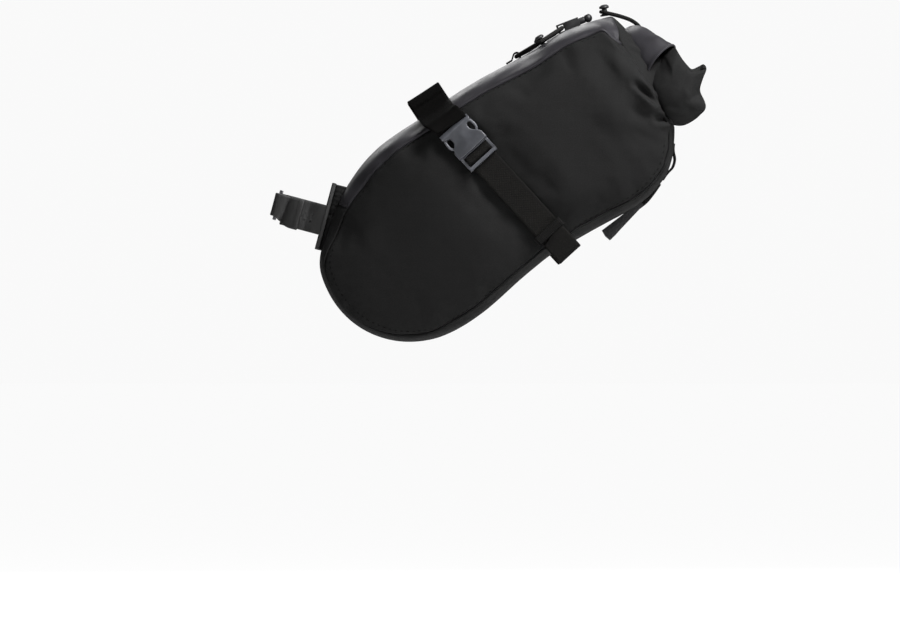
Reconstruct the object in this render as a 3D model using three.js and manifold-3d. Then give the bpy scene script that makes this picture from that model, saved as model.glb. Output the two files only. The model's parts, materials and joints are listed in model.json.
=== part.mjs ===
// Roll-top bicycle saddle bag, in millimetres. The bike faces -X, the rider's left is -Y and +Z is up.
// The origin is the centre of the face that rests against the seatpost, so the bag is drawn at its riding tilt.
import * as THREE from "three";
import { mergeVertices } from "three/addons/utils/BufferGeometryUtils.js";
import Module from "manifold-3d";

const wasm = await Module();
wasm.setup();

// ---------------------------------------------------------------- driving dimensions
const GAP = 0.4; // clearance left between pieces that touch on the real bag
const FABRIC = 2; // thickness of a sewn panel with its lining
const BOARD = 1.5; // plastic stiffener sheet
const FRONT_HALF_WIDTH = 36;
const REAR_HALF_WIDTH = 58;
const PANEL_CROWN = 5; // how far a packed side panel bulges at its middle
const TOP_WRAP = 8; // how far the top panel wraps down over each side
const BASE_WRAP = 4.5; // the same for the base gusset
const MOUTH_WRAP = 1;
const TOP_PANEL_LENGTH = 230; // from the rear corner to the seam just above the seatpost pad
const BAG_TILT = THREE.MathUtils.degToRad(35); // long axis of the bag above the horizontal
const TAPER_START = -20; // stations along the long axis between which the bag widens
const TAPER_END = 105;

const POST_TILT = THREE.MathUtils.degToRad(15);
const POST_RADIUS = 13.6; // 27.2 mm seatpost
const PAD = { height: 47, halfWidth: 20, core: 3, land: 0.8, landHalfWidth: 11, spacerInset: 3 };

const WEB_WIDTH = 19; // 3/4 inch webbing
const WEB = 1.3;
const STRAP_TILT = THREE.MathUtils.degToRad(47.5); // side straps run down and back at this angle
const RAIL = { x: 71, z: 79.7, halfGauge: 27, radius: 3.5 };
const RAIL_WRAP_WIDTH = 25;
const WRAP = 1.6; // thickness of the rail wrap
const WRAP_TILT = THREE.MathUtils.degToRad(57); // square to the top panel below the rail
const RAIL_HEIGHT = 9; // from the rail's centre down to the top panel
const STRAP_MIDDLE = 72; // distance from the rail to the middle of the side panel, along the strap
const STRAP_HALF_RUN = 60;

// ---------------------------------------------------------------- materials
const paint = (color, roughness, metalness = 0) =>
  new THREE.MeshStandardMaterial({ color, roughness, metalness });
const woven = paint(0x2b2b2d, 0.85);
const coated = paint(0x3d3b3f, 0.5);
const webbing = paint(0x201f20, 0.9);
const acetal = paint(0x3b3d42, 0.4);
const rubber = paint(0x303033, 0.6);
const board = paint(0xd8d8d4, 0.5);
const cord = paint(0x1b1b1c, 0.8);
const steel = paint(0x8c8c90, 0.35, 1);

// ---------------------------------------------------------------- solids
function toSolid(geometry) {
  const bare = geometry.clone();
  bare.deleteAttribute("normal");
  bare.deleteAttribute("uv");
  const merged = mergeVertices(bare, 1e-4);
  return new wasm.Manifold(
    new wasm.Mesh({
      numProp: 3,
      vertProperties: new Float32Array(merged.attributes.position.array),
      triVerts: new Uint32Array(merged.index.array),
    }),
  );
}

function toGeometry(solid) {
  const mesh = solid.getMesh();
  const geometry = new THREE.BufferGeometry();
  geometry.setAttribute("position", new THREE.BufferAttribute(mesh.vertProperties, 3));
  geometry.setIndex(new THREE.BufferAttribute(mesh.triVerts, 1));
  return geometry;
}

function box(x0, x1, y0, y1, z0, z1) {
  const geometry = new THREE.BoxGeometry(x1 - x0, y1 - y0, z1 - z0);
  return geometry.translate((x0 + x1) / 2, (y0 + y1) / 2, (z0 + z1) / 2);
}

// A cylinder along X from x0 to x1.
function roundBar(x0, x1, radius, y, z, sides = 16) {
  const geometry = new THREE.CylinderGeometry(radius, radius, x1 - x0, sides);
  return geometry.rotateZ(-Math.PI / 2).translate((x0 + x1) / 2, y, z);
}

function cut(body, ...tools) {
  const solids = tools.map(toSolid);
  return toGeometry(solids.reduce((left, tool) => left.subtract(tool), toSolid(body)));
}

function join(...pieces) {
  const solids = pieces.map(toSolid);
  return toGeometry(solids.reduce((sum, piece) => sum.add(piece)));
}

function polygon(points) {
  return new THREE.Shape(points.map(([x, y]) => new THREE.Vector2(x, y)));
}

// The outline drawn in X and Y, given a depth that is centred on Z = 0.
function plate(points, depth) {
  const geometry = new THREE.ExtrudeGeometry(polygon(points), { depth, bevelEnabled: false });
  return geometry.translate(0, 0, -depth / 2);
}

// A strap seen edge on: a line of [x, y] points given a thickness, and a width that is centred on Z = 0.
function ribbon(line, thickness, width) {
  const left = [];
  const right = [];
  line.forEach(([x, y], i) => {
    const [ax, ay] = line[Math.max(i - 1, 0)];
    const [bx, by] = line[Math.min(i + 1, line.length - 1)];
    const length = Math.hypot(bx - ax, by - ay);
    const nx = ((by - ay) / length) * (thickness / 2);
    const ny = ((ax - bx) / length) * (thickness / 2);
    left.push([x + nx, y + ny]);
    right.unshift([x - nx, y - ny]);
  });
  return plate([...left, ...right], width);
}

function smooth(points, count) {
  const curve = new THREE.SplineCurve(points.map(([x, y]) => new THREE.Vector2(x, y)));
  return curve.getSpacedPoints(count).map((p) => [p.x, p.y]);
}

function arc(centreX, centreY, radius, from, to, count) {
  return Array.from({ length: count + 1 }, (_, i) => {
    const angle = THREE.MathUtils.degToRad(from + ((to - from) * i) / count);
    return [centreX + radius * Math.cos(angle), centreY + radius * Math.sin(angle)];
  });
}

// A round cord through the given points.
function cordAlong(points, radius, steps, closed = false) {
  const path = new THREE.CatmullRomCurve3(points, closed, "centripetal");
  const ring = new THREE.Shape().absarc(0, 0, radius, 0, 2 * Math.PI);
  return new THREE.ExtrudeGeometry(ring, {
    steps,
    extrudePath: path,
    curveSegments: 6,
    bevelEnabled: false,
  });
}

// A closed shell between two grids of points with the same rows and columns.
function shell(outer, inner) {
  const rows = outer.length;
  const columns = outer[0].length;
  const positions = [...outer.flat(), ...inner.flat()].flatMap((p) => p.toArray());
  const at = (layer, r, c) => layer * rows * columns + r * columns + c;
  const index = [];
  const quad = (a, b, c, d) => index.push(a, b, c, a, c, d);
  for (let r = 0; r < rows - 1; r++)
    for (let c = 0; c < columns - 1; c++) {
      quad(at(0, r, c), at(0, r, c + 1), at(0, r + 1, c + 1), at(0, r + 1, c));
      quad(at(1, r, c), at(1, r + 1, c), at(1, r + 1, c + 1), at(1, r, c + 1));
    }
  for (let c = 0; c < columns - 1; c++) {
    quad(at(0, 0, c), at(1, 0, c), at(1, 0, c + 1), at(0, 0, c + 1));
    quad(at(0, rows - 1, c + 1), at(1, rows - 1, c + 1), at(1, rows - 1, c), at(0, rows - 1, c));
  }
  for (let r = 0; r < rows - 1; r++) {
    quad(at(0, r + 1, 0), at(1, r + 1, 0), at(1, r, 0), at(0, r, 0));
    quad(at(0, r, columns - 1), at(1, r, columns - 1), at(1, r + 1, columns - 1), at(0, r + 1, columns - 1));
  }
  return facingOut(positions, index);
}

// A closed dish: two stacks of rings from a rim to a centre point, joined at the rim.
function dish(outerRings, outerCentre, innerRings, innerCentre) {
  const sides = outerRings[0].length;
  const count = outerRings.length;
  const positions = [...outerRings.flat(), outerCentre, ...innerRings.flat(), innerCentre].flatMap((p) =>
    p.toArray(),
  );
  const layerSize = count * sides + 1;
  const index = [];
  for (const layer of [0, 1]) {
    const at = (ring, k) => layer * layerSize + ring * sides + (k % sides);
    const centre = layer * layerSize + count * sides;
    const face = (a, b, c) => index.push(...(layer ? [a, c, b] : [a, b, c]));
    for (let k = 0; k < sides; k++) {
      for (let ring = 0; ring < count - 1; ring++) {
        face(at(ring, k), at(ring, k + 1), at(ring + 1, k + 1));
        face(at(ring, k), at(ring + 1, k + 1), at(ring + 1, k));
      }
      face(at(count - 1, k), at(count - 1, k + 1), centre);
    }
  }
  for (let k = 0; k < sides; k++) {
    const next = (k + 1) % sides;
    index.push(k, layerSize + k, layerSize + next);
    index.push(k, layerSize + next, next);
  }
  return facingOut(positions, index);
}

// The same surface with its faces turned outwards if they point in.
function facingOut(positions, index) {
  let volume = 0;
  const corner = (i) => new THREE.Vector3().fromArray(positions, 3 * i);
  for (let i = 0; i < index.length; i += 3)
    volume += corner(index[i]).dot(corner(index[i + 1]).cross(corner(index[i + 2])));
  if (volume < 0) for (let i = 0; i < index.length; i += 3) [index[i], index[i + 1]] = [index[i + 1], index[i]];
  const geometry = new THREE.BufferGeometry();
  geometry.setAttribute("position", new THREE.Float32BufferAttribute(positions, 3));
  return geometry.setIndex(index);
}

// ---------------------------------------------------------------- the scene graph
const bag = new THREE.Group();

function add(name, geometry, material, parent = bag) {
  const mesh = new THREE.Mesh(geometry, material);
  mesh.name = name;
  parent.add(mesh);
  return mesh;
}

function frame(x, y, z, turnY, parent = bag) {
  const group = new THREE.Group();
  group.position.set(x, y, z);
  group.rotation.y = turnY;
  parent.add(group);
  return group;
}

// ---------------------------------------------------------------- outline of the bag in its middle plane
// Seen from the left: along the top from the rear corner to the post, round the nose and along the base.
const NOSE = { x: 59, z: -24.5, radius: 61 };
const noseArc = arc(NOSE.x, NOSE.z, NOSE.radius, 187, 302, 7);
const topPoints = [
  [197, 136.5],
  [175, 128.5],
  [158.5, 121.5],
  [134.5, 106.5],
  [103.5, 90],
  [64.5, 64.5],
  [38.5, 44.5],
  [23, 30],
  [12, 11.5],
  [3.5, -11.5],
];
const basePoints = [
  [113.5, -58],
  [145.5, -30.5],
  [171, -13.5],
  [189, -4],
  [208.5, 6],
  [223.5, 18.5],
  [231.5, 31],
  [235, 45],
  [235, 61],
];
const mouthPoints = [
  [233.5, 63.5],
  [224.5, 73.5],
  [219.5, 87],
  [206.5, 105],
  [199.5, 121],
];

const planar = ([x, z]) => new THREE.Vector3(x, 0, z);
const bodyLine = new THREE.CatmullRomCurve3(
  [...topPoints, ...noseArc, ...basePoints].map(planar),
  false,
  "centripetal",
);
const bodyLength = bodyLine.getLength();
const TOP_SHARE = TOP_PANEL_LENGTH / bodyLength;
const SEAM_SHARE = GAP / bodyLength;
const PANEL_MIDDLE = [
  RAIL.x + STRAP_MIDDLE * Math.cos(STRAP_TILT),
  RAIL.z - STRAP_MIDDLE * Math.sin(STRAP_TILT),
];

function station(x, z) {
  return x * Math.cos(BAG_TILT) + z * Math.sin(BAG_TILT);
}

function halfWidth(x, z) {
  const share = THREE.MathUtils.smoothstep(station(x, z), TAPER_START, TAPER_END);
  return FRONT_HALF_WIDTH + (REAR_HALF_WIDTH - FRONT_HALF_WIDTH) * share;
}

// Points evenly along part of the body line, each with its inward normal.
function walk(from, to, count) {
  return Array.from({ length: count + 1 }, (_, i) => {
    const share = from + ((to - from) * i) / count;
    const point = bodyLine.getPointAt(share);
    const tangent = bodyLine.getTangentAt(share);
    return { share, point, inward: new THREE.Vector3(-tangent.z, 0, tangent.x) };
  });
}

function wrapAt(share) {
  const top = 1 - THREE.MathUtils.smoothstep(share, TOP_SHARE * 0.8, TOP_SHARE * 1.15);
  return BASE_WRAP + (TOP_WRAP - BASE_WRAP) * top;
}

// A strip that follows the body line and curls in at both edges. depth is how far it lies inside the line.
function strip(from, to, count, depth, thickness, reachDegrees, across) {
  const layer = (inset) =>
    walk(from, to, count).map(({ share, point, inward }) =>
      Array.from({ length: across + 1 }, (_, i) => {
        const angle = THREE.MathUtils.degToRad(reachDegrees * ((2 * i) / across - 1));
        const fall = inset + wrapAt(share) * (1 - Math.cos(angle));
        const place = point.clone().addScaledVector(inward, fall);
        place.y = (halfWidth(point.x, point.z) - inset) * Math.sin(angle);
        return place;
      }),
    );
  return shell(layer(depth), layer(depth + thickness));
}

// ---------------------------------------------------------------- sewn panels and the boards inside them
function sidePanel(side) {
  const SEGMENTS = 56;
  const REAR_SEGMENTS = 8;
  const seam = walk(SEAM_SHARE, 1 - SEAM_SHARE, SEGMENTS);
  const mouth = smooth([[235, 61], ...mouthPoints, topPoints[0]], REAR_SEGMENTS + 2).slice(1, -1);
  const rim = (extra) => [
    ...seam.map(({ share, point, inward }) =>
      point.clone().addScaledVector(inward, wrapAt(share) + GAP + extra),
    ),
    ...mouth.map(([x, z]) => new THREE.Vector3(x - MOUTH_WRAP - extra, 0, z - MOUTH_WRAP - extra * 0.5)),
  ];
  const SHARES = [1, 0.86, 0.62, 0.32];
  const middle = new THREE.Vector3(PANEL_MIDDLE[0], 0, PANEL_MIDDLE[1]);
  const rise = (x, z, share, inset) => side * (halfWidth(x, z) + PANEL_CROWN * (1 - share * share) - inset);
  const rings = (extra, inset) =>
    SHARES.map((share) =>
      rim(extra).map((edge) => {
        const place = middle.clone().lerp(edge, share);
        place.y = rise(place.x, place.z, share, inset);
        return place;
      }),
    );
  const centre = (inset) => middle.clone().setY(rise(middle.x, middle.z, 0, inset));
  return dish(rings(0, 0), centre(0), rings(FABRIC, FABRIC), centre(FABRIC));
}

const CLOTH_STRIP = { reach: 90, across: 10 }; // curls right round to the side panels
const clothStrip = (from, to, count) =>
  strip(from, to, count, 0, FABRIC, CLOTH_STRIP.reach, CLOTH_STRIP.across);
add("left_side_panel", sidePanel(-1), woven);
add("right_side_panel", sidePanel(1), woven);
add("top_panel", clothStrip(0, TOP_SHARE - SEAM_SHARE, 22), coated);
add("base_gusset", clothStrip(TOP_SHARE + SEAM_SHARE, 1, 44), coated);

const BOARD_STRIP = { depth: FABRIC + GAP, reach: 60, across: 6 }; // stops short of the curled edges
const boardStrip = (from, to, count) =>
  strip(from, to, count, BOARD_STRIP.depth, BOARD, BOARD_STRIP.reach, BOARD_STRIP.across);
add("base_stiffener", boardStrip(TOP_SHARE * 1.3, 0.9, 26), board);
add("top_stiffener", boardStrip(TOP_SHARE * 0.3, TOP_SHARE * 0.8, 8), board);

// The fabric that closes the mouth, folded flat between the bag and the roll.
const MOUTH_INSET = 4.5;
const COLLAR_WIDTH = 2 * (REAR_HALF_WIDTH - FABRIC - 1);
const collarLine = smooth(
  [[231.5, 60], ...mouthPoints, [198, 124.5]].map(([x, z]) => [x - MOUTH_INSET, z - MOUTH_INSET * 0.5]),
  12,
);
const collar = ribbon(collarLine, FABRIC, COLLAR_WIDTH);
add("mouth_collar", collar.rotateX(Math.PI / 2), woven);

// ---------------------------------------------------------------- seatpost pad and strap
// Local axes: +Z up the seatpost, +X away from it, the post's axis at X = -POST_RADIUS.
const post = frame(0, 0, 0, POST_TILT);
const padBack = walk(TOP_SHARE * 0.98, TOP_SHARE * 1.4, 12)
  .map(({ point, inward }) => point.clone().addScaledVector(inward, -GAP))
  .map((p) => p.applyAxisAngle(new THREE.Vector3(0, 1, 0), -POST_TILT))
  .filter((p) => Math.abs(p.z) < PAD.height / 2 - 0.5);
const padTop = padBack[0];
const padFoot = padBack[padBack.length - 1];
const padOutline = [
  [PAD.core + GAP, PAD.height / 2],
  [padTop.x, PAD.height / 2],
  ...padBack.map((p) => [p.x, p.z]),
  [padFoot.x, -PAD.height / 2],
  [PAD.core + GAP, -PAD.height / 2],
];
const padSpacer = plate(padOutline, 2 * (PAD.halfWidth - PAD.spacerInset)).rotateX(Math.PI / 2);
add("seatpost_pad_spacer", padSpacer, woven, post);

// Rubber sheet with a raised land down its middle that grips the post between the ends of the strap.
const padSheet = box(PAD.land, PAD.core, -PAD.halfWidth, PAD.halfWidth, -PAD.height / 2, PAD.height / 2);
const padLand = box(
  0, PAD.core - PAD.land, -PAD.landHalfWidth, PAD.landHalfWidth, -PAD.height / 2, PAD.height / 2,
);
add("seatpost_pad", join(padSheet, padLand), rubber, post);

const POST_STRAP = { thickness: 1.6, height: -1, wide: 21, narrow: 16, drop: 2 };
const RING = { near: -7.5, far: 7.5, x: -2 * POST_RADIUS - 5, bar: 1.1, opening: 17, end: 2 };
const wrapRadius = POST_RADIUS + 0.4 + POST_STRAP.thickness / 2;

// Strap seen from above: out of the pad, round the left side of the post and through the ring.
// Its near layer is wide and hangs lower than the ring, and its holes are in rows of three, two and three.
const underLine = [
  [-0.8, -19.2],
  [-5, -17.2],
  ...arc(-POST_RADIUS, 0, wrapRadius, 282, 222, 8),
  [RING.x + 4.8, RING.near - 0.6],
];
const postStrap = frame(0, 0, POST_STRAP.height, 0, post);
const underStrap = ribbon(smooth(underLine, 22), POST_STRAP.thickness, POST_STRAP.wide);
const HOLES = { radius: 0.7, depth: 6, sides: 8, pitch: 4.2, row: 2.4, x: -12, y: -15, z: -2.8 };
const holes = [];
for (const row of [-1, 0, 1])
  for (const step of row ? [-1, 0, 1] : [-0.5, 0.5]) {
    const drill = new THREE.CylinderGeometry(HOLES.radius, HOLES.radius, HOLES.depth, HOLES.sides);
    holes.push(drill.translate(HOLES.x + step * HOLES.pitch, HOLES.y, HOLES.z + row * HOLES.row));
  }
const strapBody = underStrap.translate(0, 0, -POST_STRAP.drop);
add("post_strap", cut(strapBody, ...holes), rubber, postStrap);

const overOffset = POST_STRAP.thickness + GAP;
const tailLine = [
  [RING.x + 0.4, RING.near + 2.6],
  [RING.x - 2, RING.near + 1.6],
  [RING.x - 2.5, RING.near - 0.8],
  [RING.x - 1.4, RING.near - 3.6],
  [RING.x + 2.2, RING.near - 4.2],
  ...arc(-POST_RADIUS, 0, wrapRadius + overOffset, 222, 262, 6),
];
// The tail widens downwards from the ring to its free end.
const TAIL = { thickness: 1.4, top: POST_STRAP.narrow / 2, foot: -13, taperEnd: -13 };
const tailMiddle = (TAIL.top + TAIL.foot) / 2;
const tailSheet = ribbon(tailLine, TAIL.thickness, TAIL.top - TAIL.foot).translate(0, 0, tailMiddle);
const belowTail = plate(
  [
    [RING.x - 5, -TAIL.foot + 5],
    [RING.x - 5, TAIL.top],
    [RING.x + 3, TAIL.top],
    [TAIL.taperEnd, -TAIL.foot],
    [TAIL.taperEnd, -TAIL.foot + 5],
  ],
  60,
).rotateX(-Math.PI / 2);
add("post_strap_tail", cut(tailSheet, belowTail), rubber, postStrap);

const farLine = [
  [-0.8, 19.2],
  [-5, 17.2],
  ...arc(-POST_RADIUS, 0, wrapRadius, 78, 155, 8),
  [RING.x + 1.4, RING.far + 2.6],
];
const farStrap = ribbon(smooth(farLine, 22), POST_STRAP.thickness, POST_STRAP.narrow + 1);
add("post_strap_anchor", farStrap, rubber, postStrap);

const ringOuter = box(
  RING.x - RING.bar, RING.x + RING.bar, RING.near - RING.bar, RING.far + RING.bar,
  -RING.opening / 2 - RING.end, RING.opening / 2 + RING.end,
);
const ringHole = box(
  RING.x - 3, RING.x + 3, RING.near + RING.bar, RING.far - RING.bar, -RING.opening / 2, RING.opening / 2,
);
add("post_strap_ring", cut(ringOuter, ringHole), steel, postStrap);

// ---------------------------------------------------------------- side straps
// Local axes of a strap frame: +X down the strap from the saddle rail, +Z along the rail, -Y outwards.
const BUCKLE = { start: 26, half: 12.3, waist: 7.6, length: 21, height: 7, ladder: 32.2 };
const sideY = (s) => REAR_HALF_WIDTH + PANEL_CROWN * (1 - ((s - STRAP_MIDDLE) / STRAP_HALF_RUN) ** 2);
const buckleRise = sideY(BUCKLE.start + BUCKLE.ladder) - sideY(BUCKLE.start);
const BUCKLE_TURN = Math.atan2(buckleRise, BUCKLE.ladder);
const BUCKLE_CLEARANCE = 1;

// A point given along and out from the buckle's inner face, in the strap frame.
function fromBuckle(along, out) {
  const c = Math.cos(BUCKLE_TURN);
  const s = Math.sin(BUCKLE_TURN);
  const floor = sideY(BUCKLE.start) + BUCKLE_CLEARANCE;
  return [BUCKLE.start + along * c - out * s, -floor - along * s - out * c];
}

const LADDER = { slot1: 22.2, bar: 24.6, slot2: 27.4, end: 29.8, close: 32.2 };

// Webbing: up from the base seam against the panel, over the ladder's middle bar, back down on top
// of itself, past the edge of the bag and folded back.
function webbingLine() {
  const against = (s, lift) => [s, -(sideY(s) + lift)];
  const LOAD_LIFT = GAP + WEB / 2;
  const TAIL_LIFT = LOAD_LIFT + WEB + GAP;
  const SEAM = 131;
  const load = [SEAM, 118, 105, 92, 79, 66].map((s) => against(s, LOAD_LIFT));
  const overBar = [
    fromBuckle(28, 0.3),
    fromBuckle(24.9, 0.55),
    fromBuckle(23.5, 2),
    fromBuckle(23.5, 5),
    fromBuckle(24.3, 6.1),
    fromBuckle(27.4, 6.1),
    fromBuckle(28.4, 5),
    fromBuckle(28.9, 3.0),
    fromBuckle(30.4, 2.35),
    fromBuckle(34, 2.3),
  ];
  const tail = [70, 82, 94, 106, 118, 130].map((s) => against(s, TAIL_LIFT));
  const [, edge] = against(SEAM, TAIL_LIFT);
  const fold = [
    [137, edge + 0.4],
    [141.5, edge - 0.6],
    [143, edge - 2.6],
    [141, edge - 4.6],
    [135.5, edge - 5.4],
    [129, edge - 4.2],
  ];
  return [...load, ...overBar, ...tail, ...fold];
}

function bucklePlate(y0, y1) {
  const h = BUCKLE.half;
  const w = BUCKLE.waist;
  const sweep = smooth([[6.4, 10.2], [8.2, w], [11, w], [13.2, 10.2]], 6);
  const upper = [[0, h], [5.4, h], ...sweep, [15.2, h], [BUCKLE.length, h]];
  const lower = upper.map(([x, z]) => [x, -z]).reverse();
  const geometry = plate([...upper, ...lower], y1 - y0);
  return geometry.rotateX(-Math.PI / 2).translate(0, (y0 + y1) / 2, 0);
}

// The front half: a sleeve open at the rear, with a slot and a bar at its front for the webbing tab.
function femaleBuckle() {
  const SLOT = { from: 2, to: 4.2, half: 9.9 };
  const SLEEVE = { from: 5.2, floor: -1.4, roof: -5.6, half: 10.9 };
  const body = bucklePlate(-BUCKLE.height, 0);
  const past = 1; // how far a cutting box reaches beyond the body
  const sleeve = box(SLEEVE.from, BUCKLE.length + past, SLEEVE.roof, SLEEVE.floor, -SLEEVE.half, SLEEVE.half);
  const webSlot = box(SLOT.from, SLOT.to, -BUCKLE.height - past, past, -SLOT.half, SLOT.half);
  const underBar = box(-past, SLOT.from + 0.5, SLEEVE.floor - past, past, -SLOT.half, SLOT.half);
  const overBar = box(-past, SLOT.from + 0.5, -BUCKLE.height - past, SLEEVE.roof, -SLOT.half, SLOT.half);
  return cut(body, sleeve, webSlot, underBar, overBar);
}

// The rear half: a guiding tongue and a base inside the sleeve, and a ladder of bars for the webbing.
function maleBuckle() {
  const h = BUCKLE.half - 0.3;
  const back = BUCKLE.length + GAP;
  const RAIL_BAR = { width: 1.9, low: -5.6, high: -1.2 };
  const BASE = { from: 17.6, half: 10.4, low: -5.2, high: -1.8 };
  const TONGUE = { from: 7, half: 2.2, low: -4.9, high: -2.1 };
  const MIDDLE_BAR = { low: -4.8, high: -2.4 };
  const END_BAR = { low: -6.6, high: -4 };
  const base = box(BASE.from, LADDER.slot1, BASE.low, BASE.high, -BASE.half, BASE.half);
  const tongue = box(TONGUE.from, BASE.from + 0.4, TONGUE.low, TONGUE.high, -TONGUE.half, TONGUE.half);
  const farRail = box(back, LADDER.close, RAIL_BAR.low, RAIL_BAR.high, h - RAIL_BAR.width, h);
  const nearRail = box(back, LADDER.close, RAIL_BAR.low, RAIL_BAR.high, -h, RAIL_BAR.width - h);
  const shoulder = box(back, LADDER.slot1, BASE.low, BASE.high, -h, h);
  const middleBar = box(LADDER.bar, LADDER.slot2, MIDDLE_BAR.low, MIDDLE_BAR.high, 1 - h, h - 1);
  const endBar = box(LADDER.end, LADDER.close, END_BAR.low, END_BAR.high, 0.5 - h, h - 0.5);
  return join(base, tongue, shoulder, farRail, nearRail, middleBar, endBar);
}

// A springy side arm with the pad that is pressed to open the buckle. side is +1 towards +Z.
function buckleArm(side) {
  const ARM = { depth: 3, middle: -3.5 };
  const line = [
    [17.2, 7.2],
    [17.2, 9.4],
    [13.2, 9.4],
    [12.8, 11.6],
    [11.4, 12.1],
    [9, 11.4],
    [6.8, 9.6],
    [6.2, 8.2],
    [7.6, 7.6],
    [13, 7.9],
  ];
  const geometry = plate(line.map(([x, z]) => [x, -z * side]), ARM.depth);
  return geometry.rotateX(-Math.PI / 2).translate(0, ARM.middle, 0);
}

function sideStrap(prefix, mirror) {
  const group = frame(RAIL.x, 0, RAIL.z, STRAP_TILT);
  group.scale.y = mirror;

  // Grippy wrap: sewn to the top panel inboard of the rail, over the rail and out to the bag's shoulder.
  const wrapGroup = frame(RAIL.x, 0, RAIL.z, WRAP_TILT);
  wrapGroup.scale.y = mirror;
  const reach = RAIL.radius + 0.6 + WRAP / 2;
  const onTop = (y) => {
    const fall = TOP_WRAP * (1 - Math.sqrt(1 - (y / REAR_HALF_WIDTH) ** 2));
    return [RAIL_HEIGHT + fall - WRAP / 2 - 0.6, y];
  };
  const wrapLine = [
    onTop(-9),
    onTop(-17),
    ...arc(0, -RAIL.halfGauge, reach, 60, 120, 3),
    [-reach, 2.4 - RAIL.halfGauge],
    [-reach, -2.4 - RAIL.halfGauge],
    ...arc(0, -RAIL.halfGauge, reach, 240, 300, 3),
    onTop(-40.5),
    onTop(-48),
    [12.8, -55.8],
    [14.8, -59.4],
    [16.6, -60.6],
  ];
  add(`${prefix}_rail_wrap`, ribbon(wrapLine, WRAP, RAIL_WRAP_WIDTH), rubber, wrapGroup);

  // Webbing tab from the wrap, round the bar of the buckle's female half and back on top of itself.
  const tabLine = [
    [19.8, -REAR_HALF_WIDTH - 5],
    fromBuckle(-4.5, 1.1),
    fromBuckle(-1.5, 1.1),
    fromBuckle(1.6, 1.15),
    fromBuckle(2.8, 1.9),
    fromBuckle(3.1, 3.4),
    fromBuckle(3.0, 5.2),
    fromBuckle(2.2, 6.5),
    fromBuckle(0.6, 6.9),
    fromBuckle(-2, 6.2),
    fromBuckle(-5, 4.4),
  ];
  add(`${prefix}_buckle_tab`, ribbon(tabLine, WEB, WEB_WIDTH), webbing, group);

  const buckle = new THREE.Group();
  const [startX, startY] = fromBuckle(0, 0);
  buckle.position.set(startX, startY, 0);
  buckle.rotation.z = -BUCKLE_TURN;
  group.add(buckle);
  add(`${prefix}_buckle_female`, femaleBuckle(), acetal, buckle);
  add(`${prefix}_buckle_male`, maleBuckle(), acetal, buckle);
  add(`${prefix}_buckle_arm_front`, buckleArm(-1), acetal, buckle);
  add(`${prefix}_buckle_arm_rear`, buckleArm(1), acetal, buckle);

  add(`${prefix}_webbing`, ribbon(webbingLine(), WEB, WEB_WIDTH), webbing, group);

  // Elastic loop that keeps the webbing's tail flat.
  const KEEPER = { from: 119, to: 126, half: WEB_WIDTH / 2 + 0.5, elastic: 1, stand: 6.2, lift: 0.95 };
  const floor = sideY((KEEPER.from + KEEPER.to) / 2);
  const outerHalf = KEEPER.half + KEEPER.elastic;
  const outer = box(KEEPER.from, KEEPER.to, -floor - KEEPER.stand, -floor - KEEPER.lift, -outerHalf, outerHalf);
  const inner = box(
    KEEPER.from - 1, KEEPER.to + 1, -floor - KEEPER.stand + KEEPER.elastic, -floor, -KEEPER.half, KEEPER.half,
  );
  add(`${prefix}_strap_keeper`, cut(outer, inner), cord, group);
}

sideStrap("left", 1);
sideStrap("right", -1);

// ---------------------------------------------------------------- shock cord on the top panel
const CORD_HOOK = { x: 151, halfGauge: 30, height: 8, flange: 5 };
const CLOSURE_HOOK = { x: 193.2, rise: 0.6, lean: -8, flange: 3.4 };
const ANCHOR_X = 134;
const CORD = 1.4; // radius of the shock cord

// A mushroom hook: flange, stem and domed cap, turned about its own axis.
function hookGeometry(height, flange) {
  const profile = [
    [0, 0],
    [flange, 0],
    [flange, 1],
    [2, 1.5],
    [1.7, height - 3],
    [3.4, height - 2.6],
    [3.3, height - 1.2],
    [2, height - 0.2],
    [0, height],
  ].map(([r, h]) => new THREE.Vector2(r, h));
  return new THREE.LatheGeometry(profile, 16).rotateX(Math.PI / 2);
}

// A frame on the top panel: +Z out of the surface, +X up the slope towards the rear.
function topFrame(x, y, lift) {
  const STEPS = 400;
  const share = [...Array(STEPS).keys()]
    .map((i) => (i / STEPS) * TOP_SHARE)
    .find((s) => bodyLine.getPointAt(s).x <= x);
  const { point, inward } = walk(share, share + SEAM_SHARE, 1)[0];
  const sink = TOP_WRAP * (1 - Math.sqrt(1 - (y / halfWidth(point.x, point.z)) ** 2));
  const place = point.clone().addScaledVector(inward, sink - lift);
  return frame(place.x, y, place.z, Math.atan2(-inward.x, -inward.z));
}

const leftHook = topFrame(CORD_HOOK.x, -CORD_HOOK.halfGauge, GAP);
const rightHook = topFrame(CORD_HOOK.x, CORD_HOOK.halfGauge, GAP);
add("left_cord_hook", hookGeometry(CORD_HOOK.height, CORD_HOOK.flange), acetal, leftHook);
add("right_cord_hook", hookGeometry(CORD_HOOK.height, CORD_HOOK.flange), acetal, rightHook);

const closureHook = frame(
  CLOSURE_HOOK.x, 0, topPoints[0][1] + CLOSURE_HOOK.rise, THREE.MathUtils.degToRad(CLOSURE_HOOK.lean),
);
add("closure_hook", hookGeometry(CORD_HOOK.height, CLOSURE_HOOK.flange), acetal, closureHook);

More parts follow.
